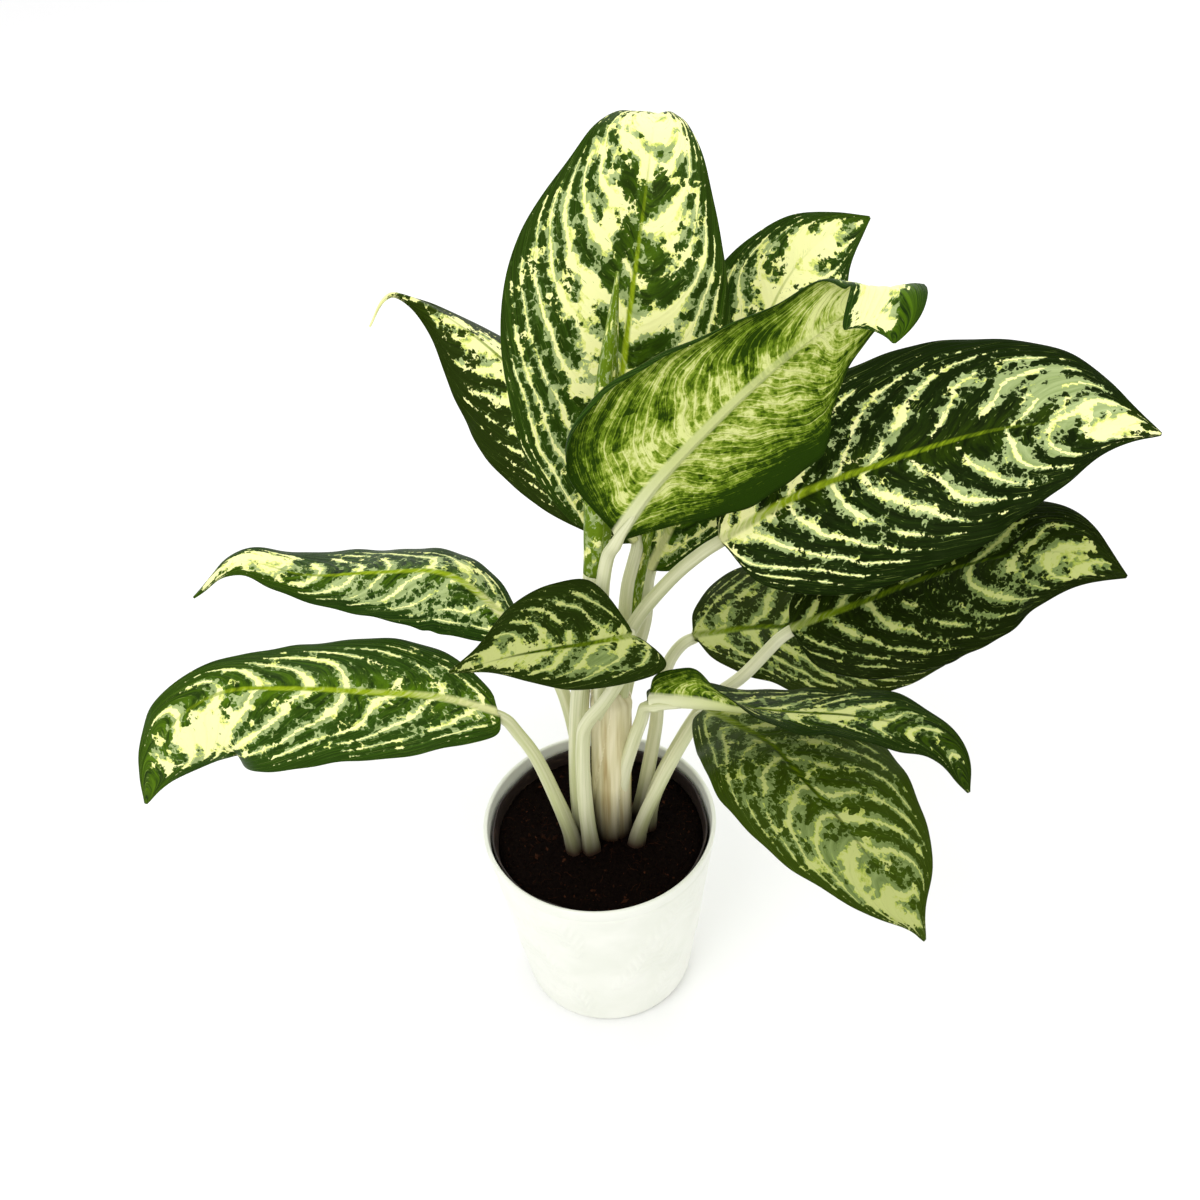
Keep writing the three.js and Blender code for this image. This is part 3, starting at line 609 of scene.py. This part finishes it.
def leaf_blade(leaf):
    """Rings across the upper face and back across the underside, and what each point knows of its place."""
    # Each row's station runs from 0 at the stalk to 1 at the tip, and across is -1 to 1 between the margins.
    even = np.linspace(0, 1, BLADE_ROWS)[:, None]
    station = 0.75 * even + 0.25 * (0.5 - 0.5 * np.cos(pi * even))
    column = np.linspace(-1, 1, 2 * HALF_COLUMNS + 1)[None]
    hand, part = np.sign(column), np.abs(column) ** 1.35 + 0 * station  # columns crowd at the midrib
    across, right = hand * part, column >= 0
    slant = leaf.get("slant", 0) * smoothstep(0.45, 0.75, station) * smoothstep(1, 0.85, station)
    place = np.clip(station + slant * across, 0, 1)
    centres, ways, length = by_length(leaf["midrib"], place.ravel(), 0.1)
    ups = by_time(leaf["face"], place.ravel())
    ups -= ways * np.sum(ups * ways, axis=1)[:, None]
    ups /= np.linalg.norm(ups, axis=1)[:, None]
    centres, ways, ups = (rows.reshape(*place.shape, 3) for rows in (centres, ways, ups))
    sides = np.cross(ways, ups)
    widths = []
    for half in ("left", "right"):
        margin = curve(list(zip(STATIONS, [AT_STALK, *leaf[half], AT_TIP])))
        widths.append(np.interp(station, np.maximum.accumulate(margin[:, 0]), margin[:, 1]))
    widest = max(*leaf["left"], *leaf["right"])
    half_width = np.where(right, widths[1], widths[0])
    folds = np.radians(by_time([(*f, 0) for f in leaf["fold"]], station.ravel()))
    fold = np.where(right, folds[:, 1:2], folds[:, 0:1])
    out, run = part * half_width, station * length
    # Side veins leave the midrib aslant, not opposite each other, and sweep forward along the margin.
    vein = run - 0.6 * out - 0.35 * length * part ** 4 + 5 * np.tanh(across * half_width / 4)

    # How high it stands over its midrib: folded up, hanging at the margins, rippled, quilted by its veins.
    seed = leaf["seed"]
    ripple = sum(high * np.sin(2 * pi * run / long + by_leaf * seed + by_half * right)
                 for long, high, by_leaf, by_half in RIPPLES)
    ripple = ripple * part ** 2.5 * smoothstep(0, 0.15, station) * smoothstep(1, 0.85, station)
    quilt = 0.3 * (0.5 - 0.5 * np.cos(2 * pi * vein / VEIN_PITCH)) * smoothstep(0.03, 0.2, part)
    quilt = quilt * smoothstep(1, 0.8, part) * smoothstep(0, 0.05, station) * smoothstep(1, 0.93, station)
    rise = out * np.sin(fold) - leaf["bow"] * (out / widest) ** 2 + ripple + quilt

    # A margin that rolls under goes round a small circle and then straight on. 9 is past any margin.
    rolls_at = np.where(right, np.interp(station, *zip(*leaf.get("curl", [(0, 9)]))), 9)
    past = np.maximum(out - rolls_at * half_width, 0)
    bend = np.minimum(past / CURL_RADIUS, CURL_ANGLE)
    free = past - bend * CURL_RADIUS
    reach = (out - past) * np.cos(fold) + CURL_RADIUS * np.sin(bend) + free * np.cos(bend)
    rise = rise - CURL_RADIUS * (1 - np.cos(bend)) - free * np.sin(bend)
    points = centres + sides * (hand * reach)[..., None] + ups * rise[..., None]
    left_lobe, right_lobe = leaf.get("lobes", (0, 0))
    back = np.where(right, right_lobe, left_lobe) * np.minimum(out / (0.8 * widest), 1) ** 0.7
    points -= ways * (back * smoothstep(0.4, 0, station))[..., None]

    # Its thickness: 0.7 mm at the midrib and 0.4 mm at the margin, and there is the rib under it.
    tilt = bend - fold * smoothstep(0, 0.12, part)
    outward = ups * np.cos(tilt)[..., None] + sides * (hand * np.sin(tilt))[..., None]
    rib = 0.3 + 2.7 * (1 - station) ** 1.1
    channel = 0.5 * (1 - station) * np.exp(-(out / (0.55 * rib)) ** 2)
    half_thick = 0.36 - 0.16 * part
    top = points + outward * (half_thick - channel)[..., None]
    bottom = points - outward * (half_thick + 1.15 * rib * np.exp(-(out / (0.8 * rib)) ** 2))[..., None]

    # How dark and how creamy its tissue is at each place.
    dark, cream, arcs = leaf["tissue"]
    for at, side, long, wide, darker, creamier in leaf["patches"]:
        off = widths[side >= 0] * side
        near = np.exp(-((run - at * length) / long) ** 2 - ((hand * out - off) / wide) ** 2)
        dark, cream = dark + darker * near, cream + creamier * near

    def both(*values):
        upper = three(out.shape, *values)
        return np.concatenate([upper, upper[:, ::-1]], axis=1)

    grown = (length / FULL_GROWN) ** 0.6
    notes = {
        "vein_place": both(vein / grown + 1000 * seed, hand * out / grown, 0),
        "blade_place": both(run / grown + 1000 * seed, hand * out / grown, 0),
        "zones": both(station, part, half_width - out),
        "tissue": both(dark, cream, arcs),
        "tint": both(*leaf["tones"]),
    }
    return np.concatenate([top, bottom[:, ::-1]], axis=1), notes


def stalk_rings(leaf):
    """Rings of the channelled stalk, from its foot in the soil or the cane to its end under the blade."""
    start, _, length = by_length(leaf["midrib"], [0, RIB_RUN])
    foot = np.array(leaf["stalk"][0], float)
    path = [*leaf["stalk"], *start]
    rooted = foot[2] == ROOTED
    if not rooted:
        off_cane = foot - (*CANE_MIDDLE, foot[2])
        path = [foot - 0.9 * off_cane - (0, 0, 62), foot - 0.65 * off_cane - (0, 0, 34), *path]
    parts = np.linspace(0, 1, STALK_ROWS)
    centres, ways, run = by_length(path, parts)
    before = run - RIB_RUN * length
    sides, ups = carried(ways, leaf["face"][0])
    along = parts * run
    radius = np.interp(along, [0, before, run], [STALK_BASE, STALK_TOP, STALK_END])
    radius += 1.3 * smoothstep(40, 5, along) * rooted
    sink = smoothstep(before - 10, before + 3, along)
    centres = centres - ups * (sink * (radius + 1.1))[:, None]
    turn = np.arange(STALK_SIDES)[None] * 2 * pi / STALK_SIDES
    off = np.abs((turn + pi) % (2 * pi) - pi)
    sheath = smoothstep(0.45, 0.3, parts)[:, None] * rooted
    groove = 0.2 - 0.12 * sheath
    shape = 1 - groove * np.exp(-(off / 0.45) ** 2) + 0.12 * sheath * np.exp(-((off - 0.9) / 0.3) ** 2)
    reach = radius[:, None] * shape
    strand = three(reach.shape, turn * 4, along[:, None], leaf["seed"] * 11)
    return rod(centres, ups, sides, reach, turn), {"strand": strand}


def variegation(add):
    """The leaf's pattern. Above nought, green is dark tissue, and silver is grey-green rather than cream."""
    vein, blade, zones, tissue = (add("Attribute", out="Vector", attribute_name=note)
                                  for note in ("vein_place", "blade_place", "zones", "tissue"))
    station, part, edge = add("SeparateXYZ", {0: zones}, None)
    darkness, creaminess, arcs = add("SeparateXYZ", {0: tissue}, None)
    off_rib = add("Math", {0: add("SeparateXYZ", {0: blade}, "Y")}, operation="ABSOLUTE")

    # Tissue changes by clusters of cells, drawn 2.6 mm wide, so places move towards their cluster's middle.
    clusters = add("TexVoronoi", {"Vector": blade, "Scale": 1 / 2.6}, None, voronoi_dimensions="2D")
    to_middle = add("VectorMath", {0: clusters["Position"], 1: blade}, operation="SUBTRACT")
    ragged = add("TexNoise", {"Vector": blade, "Scale": 1 / 1.5, "Detail": 2}, "Color")
    shift = add("VectorMath", {0: ragged, 1: (2.6, 2.6, 0)}, operation="MULTIPLY")
    shift = add("VectorMath", {0: to_middle, 1: (0.55, 0.55, 0), 2: shift}, operation="MULTIPLY_ADD")
    lobing = add("MapRange", {
        "Value": clusters["Distance"], "From Min": 0.15, "From Max": 0.7, "To Min": 0.45, "To Max": -0.45})
    place = add("VectorMath", {0: blade, 1: shift}, operation="ADD")
    wander = add("TexNoise", {"Vector": blade, "Scale": 1 / 28, "Detail": 1}, "Color")
    slow = add("VectorMath", {0: wander, 1: (22, 0, 0), 2: vein}, operation="MULTIPLY_ADD")

    # Arcs along the side veins: a cream core with silver flanks, strong at the midrib and broken in places.
    along = add("VectorMath", {0: shift, 1: (0.9, 0, 0), 2: slow}, operation="MULTIPLY_ADD")
    along = add("SeparateXYZ", {0: along})
    turns = add("Math", {0: along, 1: ARC_PITCH}, operation="DIVIDE")
    phase = add("Math", {0: turns}, operation="FRACT")
    number = add("Math", {0: turns}, operation="FLOOR")
    chance = add("TexWhiteNoise", {"W": number}, noise_dimensions="1D")
    shape = add("ValToRGB", {"Fac": phase}, stops=[(at, (dark, grey, 0, 1)) for at, dark, grey in (
        (0, 1, 1), (0.18, 0.9, 1), (0.32, 0.45, 1), (0.43, 0.12, 0.8), (0.47, 0.03, 0.1), (0.5, 0, 0),
        (0.53, 0.03, 0.1), (0.58, 0.15, 0.8), (0.7, 0.6, 1), (0.85, 0.95, 1), (1, 1, 1))])
    dark_shape, grey_shape, _ = add("SeparateColor", {0: shape}, None)
    broken = add("VectorMath", {0: place, 1: (1 / 15, 1 / 13, 0)}, operation="MULTIPLY")
    broken = add("TexNoise", {"Vector": broken, "Scale": 1, "Detail": 2})
    presence = add("MapRange", {"Value": broken, "From Min": 0.35, "From Max": 0.6, "To Max": 0.9})
    presence = add("Math", {0: chance, 1: 0.5, 2: presence}, operation="MULTIPLY_ADD")
    inner = add("MapRange", {"Value": part, "To Min": 1.15, "To Max": 0.75})
    for share in (inner, arcs):
        presence = add("Math", {0: presence, 1: share}, operation="MULTIPLY")
    dark_band, grey_band = (
        add("Math", {0: add("MapRange", {"Value": band, "To Min": low, "To Max": high}), 1: presence},
            operation="MULTIPLY") for band, low, high in ((dark_shape, -3.4, 0.8), (grey_shape, -3.2, 0.9)))

    # Blotches about 7 mm wide with finer and finer lobes to their edges, and a dark rim round the blade.
    scaled = add("VectorMath", {0: place, 1: (1 / 7.5, 1 / 6.5, 0)}, operation="MULTIPLY")
    blots = add("TexNoise", {"Vector": scaled, "Scale": 1, "Detail": 3, "Roughness": 0.8})
    green = add("Math", {0: blots, 1: 15, 2: -7.5}, operation="MULTIPLY_ADD")
    rim = add("MapRange", {"Value": edge, "From Min": 7, "From Max": 1.5, "To Max": 3.6})
    for darker in (lobing, dark_band, darkness, rim):
        green = add("Math", {0: green, 1: darker}, operation="ADD")

    # Pools of grey-green, 10 to 13 mm wide, mostly beside the dark tissue.
    scaled = add("VectorMath", {0: place, 1: (1 / 10, 1 / 13, 0), 2: (7, 3, 0)}, operation="MULTIPLY_ADD")
    pools = add("TexNoise", {"Vector": scaled, "Scale": 1, "Detail": 2, "Roughness": 0.65})
    silver = add("Math", {0: pools, 1: 12, 2: -6}, operation="MULTIPLY_ADD")
    silver = add("Math", {0: green, 1: 0.5, 2: silver}, operation="MULTIPLY_ADD")
    silver = add("Math", {0: silver, 1: creaminess}, operation="SUBTRACT")
    silver = add("Math", {0: silver, 1: grey_band}, operation="ADD")
    return vein, blade, slow, station, off_rib, green, silver


def on_midrib(add, off_rib, station, widest, narrowest, at, edges, ends):
    """1 on the midrib and 0 off it. Its half width in mm shrinks until station is at, and it ends at ends."""
    half = add("MapRange", {"Value": station, "From Max": at, "To Min": widest, "To Max": narrowest})
    away = add("Math", {0: off_rib, 1: half}, operation="DIVIDE")
    rib = add("MapRange", {"Value": away, "From Min": edges[0], "From Max": edges[1]})
    end = add("MapRange", {"Value": station, "From Min": ends[0], "From Max": ends[1]})
    return add("Math", {0: rib, 1: end}, operation="MULTIPLY")


def vein_lines(add, along, pitch, narrow, height):
    """Thin lines across the blade at every pitch in mm, as high as height in their middle."""
    turns = add("Math", {0: add("SeparateXYZ", {0: along}), 1: 2 * pi / pitch}, operation="MULTIPLY")
    wave = add("Math", {0: turns}, operation="COSINE")
    return add("MapRange", {"Value": wave, "From Min": narrow, "From Max": 1, "To Max": height})


# Upper face: waxy leaf tissue. Deep green rims and blotches, olive beside the midrib, grey-green where only
# the lower tissue is green, cream where none is, a yellow-green midrib and sunken side veins.
LEAF_SHEEN = "#DCF5A0"  # the tint of its gloss
upper_face, add = start_material("variegated leaf, waxy upper face")
vein, blade, slow, station, off_rib, green, silver = variegation(add)
fine = add("VectorMath", {0: slow, 1: (1 / 3.5, 1 / 12, 0)}, operation="MULTIPLY")
shade = add("TexNoise", {"Vector": fine, "Scale": 1, "Detail": 4, "Roughness": 0.6})
deep = add("ValToRGB", {"Fac": shade}, stops=[(0.3, "#132408"), (0.56, "#25400E"), (0.74, "#3F5F16")])
by_rib = add("MapRange", {"Value": off_rib, "From Min": 3, "From Max": 15, "To Min": 0.7, "To Max": 0})
streak = add("MapRange", {"Value": shade, "From Min": 0.4, "From Max": 0.62})
by_rib = add("Math", {0: by_rib, 1: streak}, operation="MULTIPLY")
thin = add("MapRange", {"Value": green, "From Min": 1.4, "From Max": 0.1, "To Max": 0.3})
grey = add("ValToRGB", {"Fac": shade}, stops=[(0.3, "#84975A"), (0.7, "#BAC98C")])
depth = add("MapRange", {"Value": silver, "From Min": 0, "From Max": -4})
depth = add("Math", {0: shade, 1: 1.3, 2: depth}, operation="MULTIPLY_ADD")
cream = add("ValToRGB", {"Fac": depth}, stops=[
    (0.55, "#B6C662"), (0.68, "#DCE578"), (0.84, "#F3F598"), (1, "#FDFDB4")])
in_silver = add("MapRange", {"Value": silver, "From Min": -0.15, "From Max": 0.15})
light = add("Mix", {"Factor": in_silver, 6: cream, 7: grey}, 2, data_type="RGBA")

# The midrib is paler towards its stalk and greener towards its tip. It also follows each leaf's pale tone,
# which is partly the leaf's own colour and partly painted shade.
tint = add("Attribute", out="Vector", attribute_name="tint")
dark_tone_and_shade, pale_tone_and_shade, olive = add("SeparateXYZ", {0: tint}, None)
rib = on_midrib(add, off_rib, station, 2.2, 0.4, 0.8, edges=(1.5, 0.6), ends=(0.85, 0.55))
rib_start = add("MapRange", {"Value": station, "From Min": 0.22, "From Max": 0})
rib_tone = add("Math", {0: shade, 1: 1.6, 2: -0.63}, operation="MULTIPLY_ADD")
for what, share in ((pale_tone_and_shade, 0.5), (station, -0.5), (rib_start, 0.5)):
    rib_tone = add("Math", {0: what, 1: share, 2: rib_tone}, operation="MULTIPLY_ADD")
rib_colour = add("ValToRGB", {"Fac": rib_tone}, stops=[(0, "#3A5208"), (0.5, "#96AC1C"), (1, "#DADB9C")])

# Each leaf's tones make its dark tissue deeper and more olive, and its pale tissue and midrib greener and
# dimmer. The olive is the leaf's own colour; the deepening and dimming are partly its own colour and
# partly painted shade laid over the whole leaf.
for share, colour in ((by_rib, "#55760A"), (thin, "#60803A"), (olive, "#5C7412")):
    deep = add("Mix", {"Factor": share, 6: deep, 7: colour}, 2, data_type="RGBA")
pale_wash_and_shade = add("ValToRGB", {"Fac": pale_tone_and_shade}, stops=[(0.2, "#738630"), (0.55, "#FFFFFF")])
deep, light, rib_colour = (
    add("Mix", {"Factor": 1, 6: colour, 7: tone}, 2, data_type="RGBA", blend_type="MULTIPLY")
    for colour, tone in ((deep, dark_tone_and_shade), (light, pale_wash_and_shade), (rib_colour, pale_wash_and_shade)))
in_green = add("MapRange", {"Value": green, "From Min": -0.2, "From Max": 0.2})
dashes = add("VectorMath", {0: slow, 1: (1 / 1.1, 1 / 4, 0)}, operation="MULTIPLY")
dash = add("TexNoise", {"Vector": dashes, "Scale": 1, "Detail": 2})
dash = add("MapRange", {"Value": dash, "From Min": 0.66, "From Max": 0.7, "To Max": 0.6})
leaf_colour = light
for share, colour in ((in_green, deep), (dash, "#8FA64E"), (rib, rib_colour)):
    leaf_colour = add("Mix", {"Factor": share, 6: leaf_colour, 7: colour}, 2, data_type="RGBA")
cells = add("TexNoise", {"Vector": blade, "Scale": 1.6, "Detail": 2})  # a leaf's cells, drawn 0.6 mm wide
waxy = add("MapRange", {"Value": cells, "To Min": 0.3, "To Max": 0.46})
groove = vein_lines(add, vein, VEIN_PITCH, 0.7, -1.2)
height = add("Math", {0: cells, 1: groove}, operation="ADD")
wave = add("Bump", {"Height": height, "Distance": 0.16 * MM, "Strength": 0.7})
wax = add("BsdfPrincipled", {
    "Base Color": leaf_colour, "Roughness": waxy, "Specular IOR Level": 0.06, "Specular Tint": LEAF_SHEEN,
    "Normal": wave})
add("OutputMaterial", {"Surface": wax}, None)

# Underside: the same blotches seen through the matt lower skin, so yellow-green and softer, with pale
# side veins, fine hatching along them and a thick pale midrib.
underside, add = start_material("variegated leaf, matt underside")
vein, blade, slow, station, off_rib, green, silver = variegation(add)
fine = add("VectorMath", {0: slow, 1: (1 / 1.7, 1 / 3, 0)}, operation="MULTIPLY")
hatch = add("TexNoise", {"Vector": fine, "Scale": 1, "Detail": 3, "Roughness": 0.65})
broad = add("VectorMath", {0: slow, 1: (1 / 4.5, 1 / 12, 0)}, operation="MULTIPLY")
clouds = add("TexNoise", {"Vector": broad, "Scale": 1, "Detail": 3, "Roughness": 0.75})
tone = add("Math", {0: clouds, 1: 11, 2: -5}, operation="MULTIPLY_ADD")
tone = add("Math", {0: green, 1: 0.8, 2: tone}, operation="MULTIPLY_ADD")
hatching = add("Math", {0: hatch, 1: 6, 2: -3}, operation="MULTIPLY_ADD")
tone = add("Math", {0: tone, 1: hatching}, operation="ADD")
ridge = vein_lines(add, slow, VEIN_PITCH / 2, 0.75, 1.0)
tone = add("Math", {0: ridge, 1: -1.9, 2: tone}, operation="MULTIPLY_ADD")
tone = add("MapRange", {"Value": tone, "From Min": -3.4, "From Max": 3.9})
under = add("ValToRGB", {"Fac": tone}, stops=[
    (0.08, "#D6DC8E"), (0.36, "#A0B04A"), (0.58, "#658018"), (0.92, "#213804")])
rib = on_midrib(add, off_rib, station, 3.6, 0.5, 1.0, edges=(1.3, 0.8), ends=(0.75, 0.45))
rib_start = add("MapRange", {"Value": station, "From Min": 0.25, "From Max": 0})
rib_colour = add("Mix", {"Factor": rib_start, 6: "#BFC684", 7: "#D9DAB4"}, 2, data_type="RGBA")
under = add("Mix", {"Factor": rib, 6: under, 7: rib_colour}, 2, data_type="RGBA")
height = add("Math", {0: ridge, 1: 1.5, 2: hatch}, operation="MULTIPLY_ADD")
height = add("Mix", {"Factor": rib, 2: height, 3: 0.5})  # the rib is smooth
wave = add("Bump", {"Height": height, "Distance": 0.2 * MM, "Strength": 0.8})
matt = add("BsdfPrincipled", {
    "Base Color": under, "Roughness": 0.55, "Specular IOR Level": 0.06, "Specular Tint": LEAF_SHEEN,
    "Normal": wave})
add("OutputMaterial", {"Surface": matt}, None)

# Stalk skin: fleshy and almost white with a breath of green, finely ribbed, soft gloss, and darker brown
# towards the foot.
stalk_skin = fibrous_skin(
    "fleshy leaf stalk", (1.3, 45), (6, 110), 0.5, [(0.6, "#DCDCB8"), (0.95, "#B5BA84")],
    foot_colour="#33241A", foot_fade_power=1.5, roughness=0.42, ridge=0.08, strength=0.4)


def join(name, pieces):
    """One object from several, with their materials kept."""
    bpy.ops.object.select_all(action="DESELECT")
    for piece in pieces:
        piece.select_set(True)
    bpy.context.view_layer.objects.active = pieces[0]
    bpy.ops.object.join()
    pieces[0].name = name
    return pieces[0]


columns = 2 * HALF_COLUMNS + 1
for name, leaf in LEAVES.items():
    rings, notes = leaf_blade(leaf)
    blade = skin("blade", rings, [upper_face, underside], notes, [0] * columns + [1] * columns)
    rings, notes = stalk_rings(leaf)
    stalk = skin("stalk", rings, [stalk_skin], notes)
    piece = join("grown_leaf_" + name, [blade, stalk])
    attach(piece, "root")
    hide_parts("leaf_" + name)

# Rolled leaves.
# Two young leaves that haven't opened: each is a blade still rolled up on itself round its midrib, with
# its free edge showing as a long step, on a slim stalk that comes out of the sheaths.
WIDENS = 0.03  # part of its length over which the stalk turns into the roll
ROLL_ROWS, ROLL_SIDES = 140, 48
ROLLED = {
    "tall": dict(
        path=[(-9.5, -2, 96), (-9, 0, 160), (-5, 2, 218), (5, 8, 280), (10, 14, 319), (13, 20, 349),
              (19, 28, 391), (27, 38, 440)],
        radii=[5.5, 5.5, 5, 5, 7.5, 7, 5.5, 0.8], blade_from=0.58,
    ),
    "short": dict(  # its stalk is hidden in the cane
        path=[(18, 21, CROWN), (25, 33, 242), (32, 43, 269), (38, 51, 292), (42, 55, 306)],
        radii=[3, 3.2, 3.2, 2.6, 0.8], blade_from=-WIDENS,
    ),
}
for name, rolled in ROLLED.items():
    parts = np.linspace(0, 1, ROLL_ROWS)
    centres, ways, length = by_length(rolled["path"], parts)
    fine = curve(rolled["path"])
    steps = np.concatenate([[0], np.cumsum(np.linalg.norm(np.diff(fine, axis=0), axis=1))])
    sizes = curve(list(enumerate(rolled["radii"])))[:, 1]
    radius = np.maximum(np.interp(parts * steps[-1], steps, sizes), 0.5)[:, None]
    sides, ups = carried(ways, (0.4, -1, 0))
    turn = np.arange(ROLL_SIDES)[None] * 2 * pi / ROLL_SIDES
    start, parts = rolled["blade_from"], parts[:, None]
    leafy = smoothstep(start - WIDENS, start + WIDENS, parts)
    overlap = (turn / (2 * pi) + 0.1 * parts) % 1.0
    reach = radius * (1 - leafy * 0.17 * overlap + 0.05 * leafy * np.cos(2 * turn))
    rings = rod(centres, ups, sides, reach, turn)
    along, around = parts * length, (turn - pi) * 9
    # The pattern is that of a place halfway out on a blade, far from its rim.
    notes = {label: three(reach.shape, *values) for label, values in {
        "vein_place": (along - 0.5 * np.abs(around) + 30000, around, 0),
        "blade_place": (along + 30000, around, 0),
        "zones": (0.3, 0.5, 12),
        "tissue": (0.8, -0.8, 0.3),
        "tint": (1.3, 0.5, 0.8),
        "strand": (around, along, 5),
    }.items()}
    split = max(1, int(ROLL_ROWS * start))
    above = {label: values[split - 1:] for label, values in notes.items()}
    below = {label: values[:split] for label, values in notes.items()}
    pieces = [skin("roll", rings[split - 1:], [upper_face], above)]
    if split > 1:
        pieces.append(skin("roll_stalk", rings[:split], [stalk_skin], below))
    piece = join("rolled_leaf_" + name + "_grown", pieces)
    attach(piece, "root")
    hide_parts("rolled_leaf_" + name)

# Studio.
# A plain white sweep of matt floor, two broad soft lights above, in front and behind, and a white
# surround. The camera looks down from in front, turned a little on its axis.
FLOOR_REACH = 9  # metres, like all of the studio's sizes
floor_paint, add = start_material("matt white floor")
matt = add("BsdfPrincipled", {"Base Color": "#F7F7F7", "Roughness": 0.9, "Specular IOR Level": 0.1})
add("OutputMaterial", {"Surface": matt}, None)
floor_mesh = bpy.data.meshes.new("floor")
corners = [(x * FLOOR_REACH, y * FLOOR_REACH, 0) for x, y in ((-1, -1), (1, -1), (1, 1), (-1, 1))]
floor_mesh.from_pydata(corners, [], [(0, 1, 2, 3)])
floor_mesh.materials.append(floor_paint)
floor = into_scene("floor", floor_mesh)

world = bpy.data.worlds.new("white surround")
bpy.context.scene.world = world
world.use_nodes = True
world.node_tree.nodes["Background"].inputs["Color"].default_value = (1, 1, 1, 1)
world.node_tree.nodes["Background"].inputs["Strength"].default_value = 1.0

for name, spot, aim, watts in (
        ("key light", (-0.7, -0.9, 1.7), (0, 0, 0.25), 10), ("back light", (0.6, 1.1, 1.3), (0, 0, 0.3), 6)):
    lamp = bpy.data.lights.new(name, "AREA")
    lamp.shape, lamp.size, lamp.energy = "DISK", 1.0, watts
    holder = into_scene(name, lamp)
    holder.location = spot
    holder.rotation_euler = (Vector(aim) - Vector(spot)).to_track_quat("-Z", "Y").to_euler()

CAMERA_PLACE, PAN, PITCH, ROLL = (0, -0.510, 0.730), radians(1), radians(41), radians(-4)
forward = Vector((sin(PAN) * cos(PITCH), cos(PAN) * cos(PITCH), -sin(PITCH)))
level = forward.cross(Vector((0, 0, 1))).normalized()
above = level.cross(forward)
right_way = level * cos(ROLL) + above * sin(ROLL)
up_way = above * cos(ROLL) - level * sin(ROLL)
camera_data = bpy.data.cameras.new("camera")
camera_data.sensor_width, camera_data.lens = 36, 42
camera_data.clip_start = 0.01
camera = into_scene("camera", camera_data)
facing = Matrix((right_way, up_way, -forward)).transposed().to_4x4()
camera.matrix_world = Matrix.Translation(CAMERA_PLACE) @ facing
bpy.context.scene.camera = camera
bpy.context.scene.view_settings.view_transform = "Standard"
